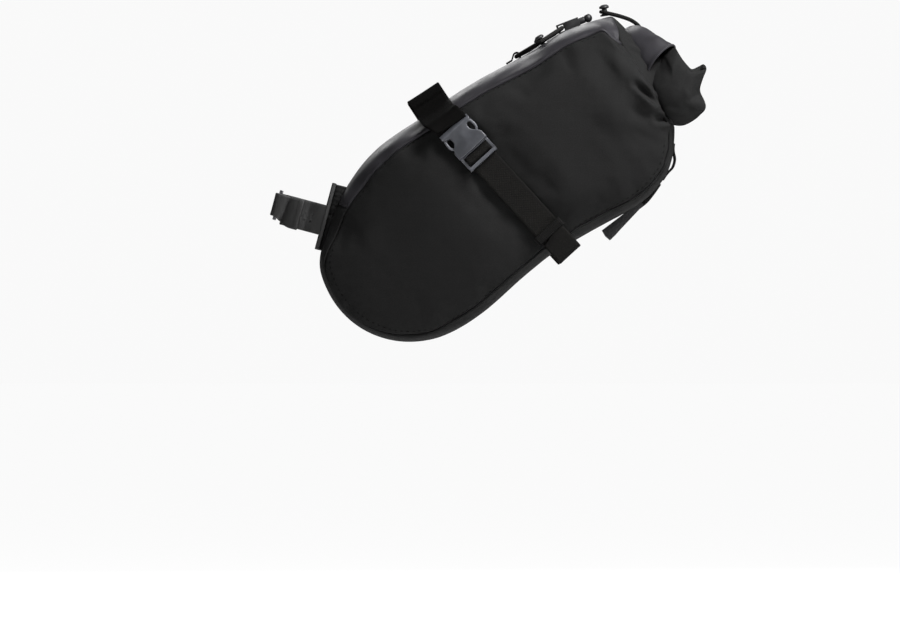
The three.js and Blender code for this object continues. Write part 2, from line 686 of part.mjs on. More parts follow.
// Webbing tab folded round the front end of the cord and sewn to the top panel.
const tab = topFrame(ANCHOR_X, 0, GAP);
const TAB = { eyeX: 0.8, eyeZ: 3.2, eye: 2.5, webbing: 1.1, width: 12, back: -8 };
const tabLine = [
  [TAB.back, 0.7],
  [-2, 0.7],
  ...arc(TAB.eyeX, TAB.eyeZ, TAB.eye, -90, 140, 9),
  [-3.6, 2.35],
  [TAB.back, 2.25],
];
add("cord_anchor_tab", ribbon(tabLine, TAB.webbing, TAB.width).rotateX(Math.PI / 2), webbing, tab);

// Cord lock: a barrel with a cross hole for the cord, a spring and a push button.
const LOCK = { x: 170, lift: 1.2, half: 8, width: 9, height: 6.4, bore: 2.6, boreFrom: -3, travel: 3 };
const CORD_HOLE = { from: -6.8, to: -3.2, wall: 1 };
const BUTTON = { from: 3, neck: 4, radius: 3, clearance: 0.3 };
const lock = topFrame(LOCK.x, 0, LOCK.lift);
const lockBody = box(-LOCK.half, LOCK.half, -LOCK.width / 2, LOCK.width / 2, 0, LOCK.height);
const lockBore = roundBar(LOCK.boreFrom, LOCK.half + 1, LOCK.bore, 0, LOCK.height / 2);
const cordHole = box(
  CORD_HOLE.from, CORD_HOLE.to, -LOCK.width, LOCK.width, CORD_HOLE.wall, LOCK.height - CORD_HOLE.wall,
);
add("cord_lock_body", cut(lockBody, lockBore, cordHole), acetal, lock);
const plungerRadius = LOCK.bore - BUTTON.clearance;
const plunger = roundBar(BUTTON.from, LOCK.half + BUTTON.neck, plungerRadius, 0, LOCK.height / 2);
const cap = new THREE.SphereGeometry(BUTTON.radius, 14, 8);
cap.translate(LOCK.half + LOCK.travel + BUTTON.radius + GAP, 0, LOCK.height / 2);
add("cord_lock_button", join(plunger, cap), acetal, lock);
const SPRING = { from: -2.6, to: 2.4, coil: 1.8, wire: 0.3, turns: 4, steps: 24 };
const coil = Array.from({ length: SPRING.steps + 1 }, (_, i) => {
  const share = i / SPRING.steps;
  const angle = share * SPRING.turns * 2 * Math.PI;
  const x = SPRING.from + (SPRING.to - SPRING.from) * share;
  return new THREE.Vector3(x, SPRING.coil * Math.cos(angle), LOCK.height / 2 + SPRING.coil * Math.sin(angle));
});
add("cord_lock_spring", cordAlong(coil, SPRING.wire, 72), steel, lock);

bag.updateMatrixWorld(true);
const inBag = (group, x, y, z) => group.localToWorld(new THREE.Vector3(x, y, z));
const CORD_RISE = 3.4; // height of the cord on the hooks
const round = CORD + 2.4; // distance of the cord from a hook's axis
const hookSide = (group, out) => [
  inBag(group, -3.4, out * 1.6, CORD_RISE),
  inBag(group, -0.5, out * round, CORD_RISE),
  inBag(group, 3.4, out * 2, CORD_RISE),
];
const lockMiddle = LOCK.height / 2;
const cordPath = [
  inBag(tab, TAB.eyeX, 0, TAB.eyeZ),
  inBag(tab, TAB.eyeX, -7, TAB.eyeZ),
  ...hookSide(leftHook, -1),
  inBag(lock, -5, -9, lockMiddle),
  inBag(lock, -5, 0, lockMiddle),
  inBag(lock, -5, 9, lockMiddle),
  ...hookSide(rightHook, 1).reverse(),
  inBag(tab, TAB.eyeX, 7, TAB.eyeZ),
];
add("shock_cord", cordAlong(cordPath, CORD, 64, true), cord);

// ---------------------------------------------------------------- rolled closure
// The mouth is folded over itself and its two ends droop: seen from the rear the roll is an arch.
const END = { from: 47, depth: 20, bevel: 4 };
const bandStations = [
  { y: 0, x: 211.5, z: 120.5, across: 10, through: 8.5 },
  { y: 22, x: 216, z: 117, across: 11, through: 9 },
  { y: END.from, x: 228.5, z: 105, across: 13.5, through: 10 },
];
const BAND_LEAN = THREE.MathUtils.degToRad(52); // long axis of the band's section above the horizontal

function bandSolid() {
  const SIDES = 18;
  const middle = bandStations[0];
  const near = bandStations.slice(1).map((s) => ({ ...s, y: -s.y }));
  const rings = [...near.reverse(), middle, ...bandStations.slice(1)].map(({ y, x, z, across, through }) =>
    Array.from({ length: SIDES }, (_, i) => {
      const angle = (i / SIDES) * 2 * Math.PI;
      const u = across * Math.cos(angle);
      const v = through * Math.sin(angle);
      const c = Math.cos(BAND_LEAN);
      const d = Math.sin(BAND_LEAN);
      return new THREE.Vector3(x + u * c - v * d, y, z + u * d + v * c);
    }),
  );
  const positions = rings.flat().flatMap((p) => p.toArray());
  const index = [];
  for (let r = 0; r < rings.length - 1; r++)
    for (let i = 0; i < SIDES; i++) {
      const next = (i + 1) % SIDES;
      const [a, b, c, d] = [r * SIDES + i, r * SIDES + next, (r + 1) * SIDES + next, (r + 1) * SIDES + i];
      index.push(a, b, c, a, c, d);
    }
  const last = (rings.length - 1) * SIDES;
  for (let i = 1; i < SIDES - 1; i++) {
    index.push(0, i + 1, i);
    index.push(last, last + i, last + i + 1);
  }
  return facingOut(positions, index);
}
add("closure_band", bandSolid(), coated);

// A drooping end of the roll: a padded shape seen from the side.
const endOutline = smooth(
  [
    [239, 114],
    [247, 104.5],
    [260, 99],
    [259, 85],
    [260, 72.5],
    [250, 65.5],
    [240.5, 67],
    [231, 76],
    [226.5, 86],
    [225, 97],
    [231, 108],
    [239, 114],
  ],
  30,
).slice(0, -1);

function endSolid(side) {
  const depth = END.depth - 2 * END.bevel;
  const geometry = new THREE.ExtrudeGeometry(polygon(endOutline), {
    depth,
    bevelThickness: END.bevel,
    bevelSize: END.bevel,
    bevelOffset: -END.bevel,
    bevelSegments: 3,
  });
  const inner = END.from + GAP + END.bevel;
  return geometry.rotateX(Math.PI / 2).translate(0, side > 0 ? inner + depth : -inner, 0);
}
add("left_closure_end", endSolid(-1), woven);
add("right_closure_end", endSolid(1), woven);

// Loop of shock cord sewn to the middle of the roll and hooked over the closure hook.
bag.updateMatrixWorld(true);
const LOOP = { hookRise: 3, sewnX: 212.5, sewnZ: 133, half: 5, legX: 6, legY: 4.4 };
const loopPath = [
  new THREE.Vector3(LOOP.sewnX, -LOOP.half, LOOP.sewnZ),
  inBag(closureHook, LOOP.legX, -LOOP.legY, LOOP.hookRise),
  inBag(closureHook, 0, -round, LOOP.hookRise),
  inBag(closureHook, -round, 0, LOOP.hookRise),
  inBag(closureHook, 0, round, LOOP.hookRise),
  inBag(closureHook, LOOP.legX, LOOP.legY, LOOP.hookRise),
  new THREE.Vector3(LOOP.sewnX, LOOP.half, LOOP.sewnZ),
];
add("closure_cord_loop", cordAlong(loopPath, CORD, 36), cord);

// ---------------------------------------------------------------- rear underside
// Local axes: +X down the base towards the post, +Z away from the bag, origin on the buckle's first bar.
const LADDER_PIVOT = { x: 217, z: 7.6, turn: 138 };
const ladder = frame(LADDER_PIVOT.x, 0, LADDER_PIVOT.z, THREE.MathUtils.degToRad(LADDER_PIVOT.turn));
const LADDER_LOCK = { length: 32, half: 13, rail: 2.4, thin: 1.7, thick: 4.4 };
const { length: ladderLength, half: ladderHalf, rail: ladderRail, thin, thick } = LADDER_LOCK;
const WEDGE_START = -1.6;
const wedge = [
  [WEDGE_START, -thin],
  [ladderLength - 1, -thick],
  [ladderLength, 0],
  [ladderLength - 0.5, thick],
  [WEDGE_START, thin],
];
const wedgeRail = (y) => plate(wedge, ladderRail).rotateX(Math.PI / 2).translate(0, y, 0);
const crossBar = (from, to, low, high) => box(from, to, -ladderHalf + 1, ladderHalf - 1, low, high);
add(
  "rear_ladder_buckle",
  join(
    wedgeRail(-ladderHalf + ladderRail / 2),
    wedgeRail(ladderHalf - ladderRail / 2),
    crossBar(-1.1, 1, -1, 1),
    crossBar(12, 16, -1.8, 1.8),
    crossBar(ladderLength - 5, ladderLength - 1, -thick + 0.6, thick - 0.4),
  ),
  acetal,
  ladder,
);
const rearTabLine = [
  [-8.5, -2.4],
  [-5, -2.2],
  [-0.4, -2.3],
  [1.9, -1.6],
  [2.4, 0],
  [1.9, 1.6],
  [-0.4, 2.3],
  [-4, 1.7],
  [-8, 1],
];
const REAR_TAB = { thickness: 1.2, width: 2 * (ladderHalf - ladderRail) - 2 };
const rearTab = ribbon(rearTabLine, REAR_TAB.thickness, REAR_TAB.width).rotateX(Math.PI / 2);
add("rear_webbing_tab", rearTab, webbing, ladder);

// Webbing loop for a clip-on light: sewn down at both ends, standing off the rear wall between them.
const LIGHT_LOOP = { low: 26, high: 50, stand: 2, thickness: 1.2, width: 24 };
const rearWall = walk(0.9, 1, 60).filter(({ point }) => point.z > LIGHT_LOOP.low && point.z < LIGHT_LOOP.high);
const lightLine = [0, 0.16, 0.34, 0.66, 0.84, 1].map((share) => {
  const { point, inward } = rearWall[Math.round(share * (rearWall.length - 1))];
  const stand = share > 0.2 && share < 0.8 ? LIGHT_LOOP.stand : 0;
  const place = point.clone().addScaledVector(inward, -(GAP + 0.3 + LIGHT_LOOP.thickness / 2 + stand));
  return [place.x, place.z];
});
const lightLoop = ribbon(lightLine, LIGHT_LOOP.thickness, LIGHT_LOOP.width).rotateX(Math.PI / 2);
add("rear_light_loop", lightLoop, webbing);

export default bag;
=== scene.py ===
"""Looks of the roll-top saddle bag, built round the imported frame.

Everything is worked out in millimetres and turned into metres when a mesh is made.
+X is towards the rear of the bike, -Y is the rider's left, and the origin is on the seatpost pad.
"""

import json
import math

import bmesh
import bpy
import numpy as np
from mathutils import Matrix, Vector, noise

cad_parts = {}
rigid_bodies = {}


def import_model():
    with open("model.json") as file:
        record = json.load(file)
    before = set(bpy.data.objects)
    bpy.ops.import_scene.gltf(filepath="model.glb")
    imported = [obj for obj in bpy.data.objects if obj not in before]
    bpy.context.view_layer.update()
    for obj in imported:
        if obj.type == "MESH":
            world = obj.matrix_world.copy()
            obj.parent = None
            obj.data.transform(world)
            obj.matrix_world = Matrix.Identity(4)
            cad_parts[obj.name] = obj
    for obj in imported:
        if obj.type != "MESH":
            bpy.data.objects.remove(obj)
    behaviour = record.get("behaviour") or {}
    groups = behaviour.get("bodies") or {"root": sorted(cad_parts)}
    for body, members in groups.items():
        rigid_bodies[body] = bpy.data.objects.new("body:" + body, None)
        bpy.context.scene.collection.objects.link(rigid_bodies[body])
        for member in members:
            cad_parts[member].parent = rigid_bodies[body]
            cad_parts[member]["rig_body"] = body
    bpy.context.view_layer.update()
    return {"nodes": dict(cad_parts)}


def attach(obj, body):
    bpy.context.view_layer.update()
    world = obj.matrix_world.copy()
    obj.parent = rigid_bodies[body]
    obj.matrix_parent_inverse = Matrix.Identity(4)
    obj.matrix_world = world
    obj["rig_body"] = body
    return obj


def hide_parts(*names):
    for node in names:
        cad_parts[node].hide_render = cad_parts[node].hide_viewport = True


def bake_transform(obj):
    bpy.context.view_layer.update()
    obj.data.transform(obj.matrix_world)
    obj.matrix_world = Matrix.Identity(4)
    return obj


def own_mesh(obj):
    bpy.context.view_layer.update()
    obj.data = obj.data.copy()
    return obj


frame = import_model()
MM = 0.001
SIDES = {"left": -1, "right": 1}

# ---------------------------------------------------------------- driving dimensions
NOSE = {"x": 59.0, "z": -24.5, "radius": 62.0}
NOSE_TIP_DEGREES = 224
TOP_POINTS = [
    (197, 137), (180, 131.5), (162.5, 124.5), (152, 118.5), (137.5, 109), (124, 102), (105.5, 92),
    (88.5, 81.5), (65, 65), (52.5, 57), (40, 48), (27.5, 35.5), (15.5, 18), (10.5, 9), (4.5, -8),
]
BASE_POINTS = [
    (110.5, -64.5), (121.5, -55), (137.5, -40.5), (155, -26.5), (174, -15), (193, -4.5),
    (207, 3), (218, 10), (228.5, 20), (235.5, 30), (239, 42), (240, 52), (240, 61.5),
]
HALF_WIDTH = {"front": 36.0, "rear": 58.0, "from": -20.0, "to": 105.0}
BAG_TILT = math.radians(35)
TOP_PANEL_LENGTH = 230.0  # from the rear corner to the seam above the seatpost pad
WRAP = {"top": 8.0, "base": 3.6, "corner": 21.0, "corner_run": 11.0}
CROWN = 6.0
CLOTH = 1.3

RAIL = {"x": 71.0, "z": 79.7, "half_gauge": 27.0, "radius": 3.5}
STRAP_TILT = math.radians(47.5)
WRAP_TILT = math.radians(57)
STRAP_MIDDLE = 72.0
STRAP_HALF_RUN = 60.0
STRAP_CROWN = 5.0
WEB = {"width": 19.0, "thickness": 1.5, "half": 9.5}
POST_TILT = math.radians(15)
POST_RADIUS = 13.6


def smoothstep(low, high, value):
    t = np.clip((np.asarray(value, float) - low) / (high - low), 0, 1)
    return t * t * (3 - 2 * t)


def unit(vectors):
    vectors = np.asarray(vectors, float)
    return vectors / np.linalg.norm(vectors, axis=-1, keepdims=True)


def even(points, count):
    """The same line as count + 1 evenly spaced points."""
    p = np.array(points, float)
    steps = np.r_[0, np.cumsum(np.linalg.norm(np.diff(p, axis=0), axis=1))]
    at = np.linspace(0, steps[-1], count + 1)
    return np.stack([np.interp(at, steps, p[:, k]) for k in range(p.shape[1])], axis=1)


def spline(points, count):
    """Evenly spaced points on a centripetal Catmull-Rom curve, in any number of dimensions."""
    p = np.array(points, float)
    p = np.vstack([2 * p[0] - p[1], p, 2 * p[-1] - p[-2]])
    dense = []
    for a, b, c, d in zip(p[:-3], p[1:-2], p[2:-1], p[3:]):
        knots = [0.0]
        for start, end in ((a, b), (b, c), (c, d)):
            knots.append(knots[-1] + max(np.linalg.norm(end - start), 1e-9) ** 0.5)
        t0, t1, t2, t3 = knots
        for t in np.linspace(t1, t2, 24, endpoint=False):
            a1 = ((t1 - t) * a + (t - t0) * b) / (t1 - t0)
            a2 = ((t2 - t) * b + (t - t1) * c) / (t2 - t1)
            a3 = ((t3 - t) * c + (t - t2) * d) / (t3 - t2)
            b1 = ((t2 - t) * a1 + (t - t0) * a2) / (t2 - t0)
            b2 = ((t3 - t) * a2 + (t - t1) * a3) / (t3 - t1)
            dense.append(((t2 - t) * b1 + (t - t1) * b2) / (t2 - t1))
    dense.append(p[-2])
    return even(dense, count)


def arc(x, z, radius, start, end, count):
    angles = np.radians(np.linspace(start, end, count + 1))
    return [(x + radius * math.cos(a), z + radius * math.sin(a)) for a in angles]


def half_width(x, z):
    station = x * math.cos(BAG_TILT) + z * math.sin(BAG_TILT)
    grow = smoothstep(HALF_WIDTH["from"], HALF_WIDTH["to"], station)
    return HALF_WIDTH["front"] + (HALF_WIDTH["rear"] - HALF_WIDTH["front"]) * grow


# ---------------------------------------------------------------- material nodes
def material(name, color, roughness, metallic=0.0, specular=0.5):
    m = bpy.data.materials.new(name)
    m.use_nodes = True
    tree = m.node_tree
    shader = tree.nodes["Principled BSDF"]
    shader.inputs["Base Color"].default_value = (*color, 1)
    shader.inputs["Roughness"].default_value = roughness
    shader.inputs["Metallic"].default_value = metallic
    shader.inputs["Specular IOR Level"].default_value = specular
    return m, tree, shader


def node(tree, kind, **values):
    n = tree.nodes.new(kind)
    for key, value in values.items():
        if key in n.inputs:
            n.inputs[key].default_value = value
        else:
            setattr(n, key, value)
    return n


def mix_colors(tree, factor, a, b):
    mix = node(tree, "ShaderNodeMix", data_type="RGBA")
    tree.links.new(factor, mix.inputs["Factor"])
    mix.inputs["A"].default_value = (*a, 1)
    mix.inputs["B"].default_value = (*b, 1)
    return mix.outputs["Result"]


def remap(tree, value, low, high, out_low=0.0, out_high=1.0):
    m = node(tree, "ShaderNodeMapRange")
    tree.links.new(value, m.inputs["Value"])
    m.inputs["From Min"].default_value = low
    m.inputs["From Max"].default_value = high
    m.inputs["To Min"].default_value = out_low
    m.inputs["To Max"].default_value = out_high
    return m.outputs["Result"]


def calc(tree, operation, a, b=0.0):
    m = node(tree, "ShaderNodeMath", operation=operation)
    for socket, value in ((m.inputs[0], a), (m.inputs[1], b)):
        if isinstance(value, (int, float)):
            socket.default_value = value
        else:
            tree.links.new(value, socket)
    return m.outputs[0]


def wave(tree, value, pitch):
    """0 to 1 and back once every pitch mm."""
    turned = calc(tree, "SINE", calc(tree, "MULTIPLY", value, 2 * math.pi / pitch))
    return calc(tree, "ADD", calc(tree, "MULTIPLY", turned, 0.5), 0.5)


def add_bump(tree, shader, height, strength, distance):
    bump = node(tree, "ShaderNodeBump", Strength=strength, Distance=distance)
    tree.links.new(height, bump.inputs["Height"])
    tree.links.new(bump.outputs["Normal"], shader.inputs["Normal"])


def noise_texture(tree, vector, **values):
    texture = node(tree, "ShaderNodeTexNoise", **values)
    tree.links.new(vector, texture.inputs["Vector"])
    return texture.outputs["Fac"]


def color_and_wear(tree, shader, shade, colors, broad, roughness, polished, dulled):
    """Colour by shade between two colours; roughness follows the broad noise."""
    tree.links.new(mix_colors(tree, shade, *colors), shader.inputs["Base Color"])
    worn = remap(tree, broad, 0.3, 0.7, roughness - polished, roughness + dulled)
    tree.links.new(worn, shader.inputs["Roughness"])


SELVEDGE_PLAIN = (2.2, 1.6)  # the weave fades out between these distances from the webbing's edge


def cloth_material(name, dark, light, pitch, roughness, specular, depth, twill=False, selvedge=None):
    """Cloth with warp and weft threads. The UV map is in mm along and across the threads."""
    m, tree, shader = material(name, dark, roughness, specular=specular)
    uv = node(tree, "ShaderNodeUVMap", uv_map="cloth_mm").outputs["UV"]
    split = node(tree, "ShaderNodeSeparateXYZ")
    tree.links.new(uv, split.inputs["Vector"])
    u, v = split.outputs["X"], split.outputs["Y"]
    cloudy = noise_texture(tree, uv, Scale=0.035, Detail=4.0, Roughness=0.6)
    threads = noise_texture(tree, uv, Scale=1.1, Detail=2.0)
    if twill:
        first = wave(tree, calc(tree, "ADD", u, v), pitch)
        second = wave(tree, calc(tree, "SUBTRACT", u, v), pitch)
    else:
        first, second = wave(tree, u, pitch), wave(tree, v, pitch)
    weave = calc(tree, "MULTIPLY", first, second)
    if selvedge:
        edge = calc(tree, "ABSOLUTE", calc(tree, "SUBTRACT", v, selvedge))
        plain = remap(tree, edge, selvedge - SELVEDGE_PLAIN[0], selvedge - SELVEDGE_PLAIN[1])
        weave = calc(tree, "MULTIPLY", weave, calc(tree, "SUBTRACT", 1.0, plain))
    shade = calc(tree, "MULTIPLY", weave, 0.5)
    shade = calc(tree, "ADD", shade, remap(tree, cloudy, 0.3, 0.7, 0, 0.3))
    shade = calc(tree, "ADD", shade, remap(tree, threads, 0.35, 0.7, 0, 0.3))
    color_and_wear(tree, shader, shade, (dark, light), cloudy, roughness, 0.08, 0.06)
    height = calc(tree, "ADD", weave, calc(tree, "MULTIPLY", threads, 0.5))
    add_bump(tree, shader, height, depth, 0.0003)
    return m


def coated_material(name, dark, light, roughness, specular):
    """Laminated fabric: faint grain and soft blotches under a satin film."""
    m, tree, shader = material(name, dark, roughness, specular=specular)
    uv = node(tree, "ShaderNodeUVMap", uv_map="cloth_mm").outputs["UV"]
    fine = noise_texture(tree, uv, Scale=1.6, Detail=3.0)
    broad = noise_texture(tree, uv, Scale=0.06, Detail=4.0)
    shade = remap(tree, broad, 0.3, 0.7, 0.1, 0.8)
    shade = calc(tree, "ADD", shade, remap(tree, fine, 0.4, 0.7, 0, 0.2))
    color_and_wear(tree, shader, shade, (dark, light), broad, roughness, 0.06, 0.1)
    add_bump(tree, shader, fine, 0.25, 0.0002)
    return m


def moulded_material(name, dark, light, roughness, grain=0.12, metallic=0.0, specular=0.5):
    """Moulded plastic, rubber or metal: fine grain, faint blotches and paler worn edges."""
    m, tree, shader = material(name, dark, roughness, metallic=metallic, specular=specular)
    place = node(tree, "ShaderNodeTexCoord").outputs["Object"]
    fine = noise_texture(tree, place, Scale=1500.0, Detail=3.0)
    broad = noise_texture(tree, place, Scale=90.0, Detail=3.0)
    geometry = node(tree, "ShaderNodeNewGeometry")
    shade = remap(tree, geometry.outputs["Pointiness"], 0.51, 0.58, 0, 0.7)
    shade = calc(tree, "ADD", shade, remap(tree, broad, 0.35, 0.75, 0, 0.35))
    color_and_wear(tree, shader, shade, (dark, light), broad, roughness, 0.06, 0.08)
    add_bump(tree, shader, fine, grain, 0.0001)
    return m


WOVEN = cloth_material("woven_cloth", (0.008, 0.008, 0.008), (0.020, 0.020, 0.020), 0.75, 0.85, 0.16, 0.35)
COATED = coated_material("coated_cloth", (0.020, 0.019, 0.0215), (0.038, 0.0365, 0.042), 0.55, 0.2)
WEBBING = cloth_material(
    "webbing", (0.0025, 0.0025, 0.0025), (0.017, 0.016, 0.0145), 1.7, 0.85, 0.12, 0.9, True, WEB["half"]
)
ELASTIC = cloth_material("elastic", (0.003, 0.003, 0.003), (0.012, 0.0115, 0.011), 1.2, 0.85, 0.12, 0.8)
WRAP_CLOTH = cloth_material(
    "grip_cloth", (0.0015, 0.0014, 0.0013), (0.005, 0.0047, 0.0045), 0.8, 0.85, 0.06, 0.4
)
GRIP = moulded_material("grip_rubber", (0.026, 0.026, 0.026), (0.06, 0.06, 0.06), 0.6, 0.25, specular=0.3)
PLASTIC = moulded_material("buckle_plastic", (0.045, 0.047, 0.054), (0.16, 0.165, 0.185), 0.34)
BLACK_PLASTIC = moulded_material("black_plastic", (0.006, 0.006, 0.006), (0.03, 0.03, 0.032), 0.4)
CORD = cloth_material("cord_braid", (0.006, 0.006, 0.006), (0.028, 0.027, 0.026), 1.0, 0.8, 0.15, 0.8, True)
THREAD = cloth_material("sewing_thread", (0.002, 0.002, 0.002), (0.006, 0.006, 0.006), 0.4, 0.8, 0.1, 0.5)
STEEL = moulded_material("ring_steel", (0.1, 0.1, 0.105), (0.3, 0.3, 0.32), 0.35, metallic=1.0)
SHEET = moulded_material("stiffener_sheet", (0.5, 0.5, 0.48), (0.62, 0.62, 0.6), 0.5)


# ---------------------------------------------------------------- mesh helpers
def link(name, mesh):
    obj = bpy.data.objects.new(name, mesh)
    bpy.context.scene.collection.objects.link(obj)
    return obj


def mesh_from(name, points, faces, uvs=None, smooth=True):
    """points in mm; uvs gives one pair in mm for each point."""
    mesh = bpy.data.meshes.new(name)
    mesh.from_pydata([tuple(np.array(p) * MM) for p in points], [], faces)
    layer = mesh.uv_layers.new(name="cloth_mm")
    if uvs is not None:
        for loop in mesh.loops:
            layer.data[loop.index].uv = uvs[loop.vertex_index]
    for polygon in mesh.polygons:
        polygon.use_smooth = smooth
    bm = bmesh.new()
    bm.from_mesh(mesh)
    bmesh.ops.recalc_face_normals(bm, faces=bm.faces)
    bm.to_mesh(mesh)
    bm.free()
    return mesh


def finish_piece(obj, used, body, replaced, keep_slots=False):
    """Gives a piece its material, body, material slot and the CAD nodes it takes the place of."""
    if not keep_slots:
        obj.data.materials.clear()
        obj.data.materials.append(used)
    if body:
        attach(obj, body)
    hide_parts(*replaced)
    return obj


def apply_modifiers(obj):
    depsgraph = bpy.context.evaluated_depsgraph_get()
    evaluated = obj.evaluated_get(depsgraph)
    mesh = bpy.data.meshes.new_from_object(evaluated, preserve_all_data_layers=True, depsgraph=depsgraph)
    obj.modifiers.clear()
    obj.data = mesh
    return obj


def coordinates(mesh):
    co = np.zeros(len(mesh.vertices) * 3, np.float32)
    mesh.vertices.foreach_get("co", co)
    return co.reshape(-1, 3).astype(float)


def normals(mesh):
    n = np.zeros(len(mesh.vertices) * 3, np.float32)
    mesh.vertex_normals.foreach_get("vector", n)
    return n.reshape(-1, 3).astype(float)


def set_coordinates(mesh, co):
    mesh.vertices.foreach_set("co", co.astype(np.float32).ravel())
    mesh.update()


def attribute(mesh, name):
    values = np.zeros(len(mesh.vertices), np.float32)
    mesh.attributes[name].data.foreach_get("value", values)
    return values


def subdivide(obj, levels=1):
    m = obj.modifiers.new("subdivision", "SUBSURF")
    m.levels = levels
    m.render_levels = levels
    apply_modifiers(obj)


def join_meshes(obj, *others):
    """Adds other meshes to an object as further islands, each with its own material."""
    bm = bmesh.new()
    bm.from_mesh(obj.data)
    for mesh, used in others:
        obj.data.materials.append(used)
        index = len(obj.data.materials) - 1
        before = len(bm.faces)
        bm.from_mesh(mesh)
        bm.faces.ensure_lookup_table()
        for face in bm.faces[before:]:
            face.material_index = index
    bm.to_mesh(obj.data)
    bm.free()


def sweep(path, across, section, closed=False):
    """A section swept along a path: across is the direction of the section's first axis.

    section is a list of (u, v) pairs, or one such list for each point of the path.
    """
    path = np.array(path, float)
    count = len(path)
    tangents = np.roll(path, -1, 0) - np.roll(path, 1, 0) if closed else np.gradient(path, axis=0)
    tangents = unit(tangents)
    across = np.broadcast_to(np.array(across, float), path.shape).copy()
    across = unit(across - tangents * np.sum(across * tangents, axis=1)[:, None])
    normal = np.cross(tangents, across)
    section = np.array(section, float)
    sections = section if section.ndim == 3 else np.broadcast_to(section, (count, *section.shape))
    loop = np.vstack([sections[0], sections[0][:1]])
    round_it = np.r_[0, np.cumsum(np.linalg.norm(np.diff(loop, axis=0), axis=1))]
    along = np.r_[0, np.cumsum(np.linalg.norm(np.diff(path, axis=0), axis=1))]
    points, uvs, faces = [], [], []
    for i in range(count):
        for k, (u, v) in enumerate(sections[i]):
            points.append(path[i] + across[i] * u + normal[i] * v)
            uvs.append((along[i], round_it[k]))
    n = len(sections[0])
    for i in range(count if closed else count - 1):
        j = (i + 1) % count
        for k in range(n):
            m = (k + 1) % n
            faces.append((i * n + k, i * n + m, j * n + m, j * n + k))
    if not closed:
        faces.append(tuple(range(n)))
        faces.append(tuple(reversed(range((count - 1) * n, count * n))))
    return points, faces, uvs


def flat_section(width, thickness):
    """Webbing seen end on: flat faces, rounded selvedges and a slight ridge along each edge."""
    half, t = width / 2, thickness / 2
    left = [(-half, 0), (-half + 0.2 * t, 0.75 * t), (-half + t, 1.1 * t), (-half + 2.6 * t, t)]
    upper = left + [(-half / 2, 0.96 * t), (0, 0.94 * t)]
    upper = upper + [(-u, v) for u, v in upper[-2::-1]]
    return upper + [(u, -v) for u, v in upper[-2:0:-1]]


def round_section(radius, count=10):
    angles = np.linspace(0, 2 * math.pi, count, endpoint=False)
    return [(radius * math.cos(a), radius * math.sin(a)) for a in angles]


def cord_mesh(name, points, radius, count, closed=False):
    path = spline(points + points[:1] if closed else points, count)
    path = path[:-1] if closed else path
    across = np.cross(unit(np.gradient(path, axis=0)), (0.13, 0.21, 0.97))
    return mesh_from(name, *sweep(path, across, round_section(radius), closed=closed))


def stitch_mesh(name, points, out, dash=2.6, gap=1.5, radius=0.38, sink=0.1):
    """A row of sewing stitches along a line of points, lying on a surface with normals out."""
    points, out = np.array(points, float), np.array(out, float)
    steps = np.r_[0, np.cumsum(np.linalg.norm(np.diff(points, axis=0), axis=1))]

    def at(distance):
        p = np.array([np.interp(distance, steps, points[:, k]) for k in range(3)])
        n = np.array([np.interp(distance, steps, out[:, k]) for k in range(3)])
        return p, n / max(np.linalg.norm(n), 1e-9)

    verts, faces = [], []
    start = gap
    while start + dash < steps[-1]:
        (a, na), (b, nb) = at(start), at(start + dash)
        a, b = a - na * sink, b - nb * sink
        along = unit(b - a)
        side = unit(np.cross(along, na))
        base = len(verts)
        verts.append(a - na * radius)
        for share in (0.25, 0.75):
            middle = a + (b - a) * share
            for angle in np.radians((0, 60, 120, 180, 240, 300)):
                verts.append(middle + (side * math.cos(angle) + na * math.sin(angle)) * radius)
        verts.append(b - nb * radius)
        for k in range(6):
            m = (k + 1) % 6
            faces.append((base, base + 1 + k, base + 1 + m))
            faces.append((base + 1 + k, base + 7 + k, base + 7 + m, base + 1 + m))
            faces.append((base + 13, base + 7 + m, base + 7 + k))
        start += dash + gap
    return mesh_from(name, verts, faces, [(p[0], p[2]) for p in verts])


def box_uv(mesh):
    """Lays the cloth map on a mesh along its faces' main directions."""
    layer = mesh.uv_layers.get("cloth_mm") or mesh.uv_layers.new(name="cloth_mm")
    for polygon in mesh.polygons:
        axis = max(range(3), key=lambda k: abs(polygon.normal[k]))
        keep = [k for k in range(3) if k != axis]
        for index in polygon.loop_indices:
            co = mesh.vertices[mesh.loops[index].vertex_index].co
            layer.data[index].uv = (co[keep[0]] / MM, co[keep[1]] / MM)


def add_bevel(obj, width, segments, angle):
    """Rounds the edges sharper than an angle in degrees; width is in mm."""
    bevel = obj.modifiers.new("bevel", "BEVEL")
    bevel.width = width * MM
    bevel.segments = segments
    bevel.limit_method = "ANGLE"
    bevel.angle_limit = math.radians(angle)


def shade_smooth(obj, sharp_angle):
    for polygon in obj.data.polygons:
        polygon.use_smooth = True
    obj.data.set_sharp_from_angle(angle=math.radians(sharp_angle))


def cut_away(obj, cutter):
    """Takes the cutter's volume out of a piece and removes the cutter."""
    cut = obj.modifiers.new("cut", "BOOLEAN")
    cut.object = cutter
    cut.operation = "DIFFERENCE"
    cut.solver = "EXACT"
    apply_modifiers(obj)
    bpy.data.objects.remove(cutter)


def bevelled_copy(node_name, name, used, width, segments=2):
    """A rounded-off copy of a CAD part, riding on the part's own body."""
    source = frame["nodes"][node_name]
    obj = link(name, source.data.copy())
    weld = obj.modifiers.new("weld", "WELD")
    weld.merge_threshold = 1e-6
    flat = obj.modifiers.new("flat", "DECIMATE")
    flat.decimate_type = "DISSOLVE"
    flat.angle_limit = math.radians(2)
    add_bevel(obj, width, segments, 35)
    apply_modifiers(obj)
    shade_smooth(obj, 38)
    box_uv(obj.data)
    return finish_piece(obj, used, source["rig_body"], [node_name])


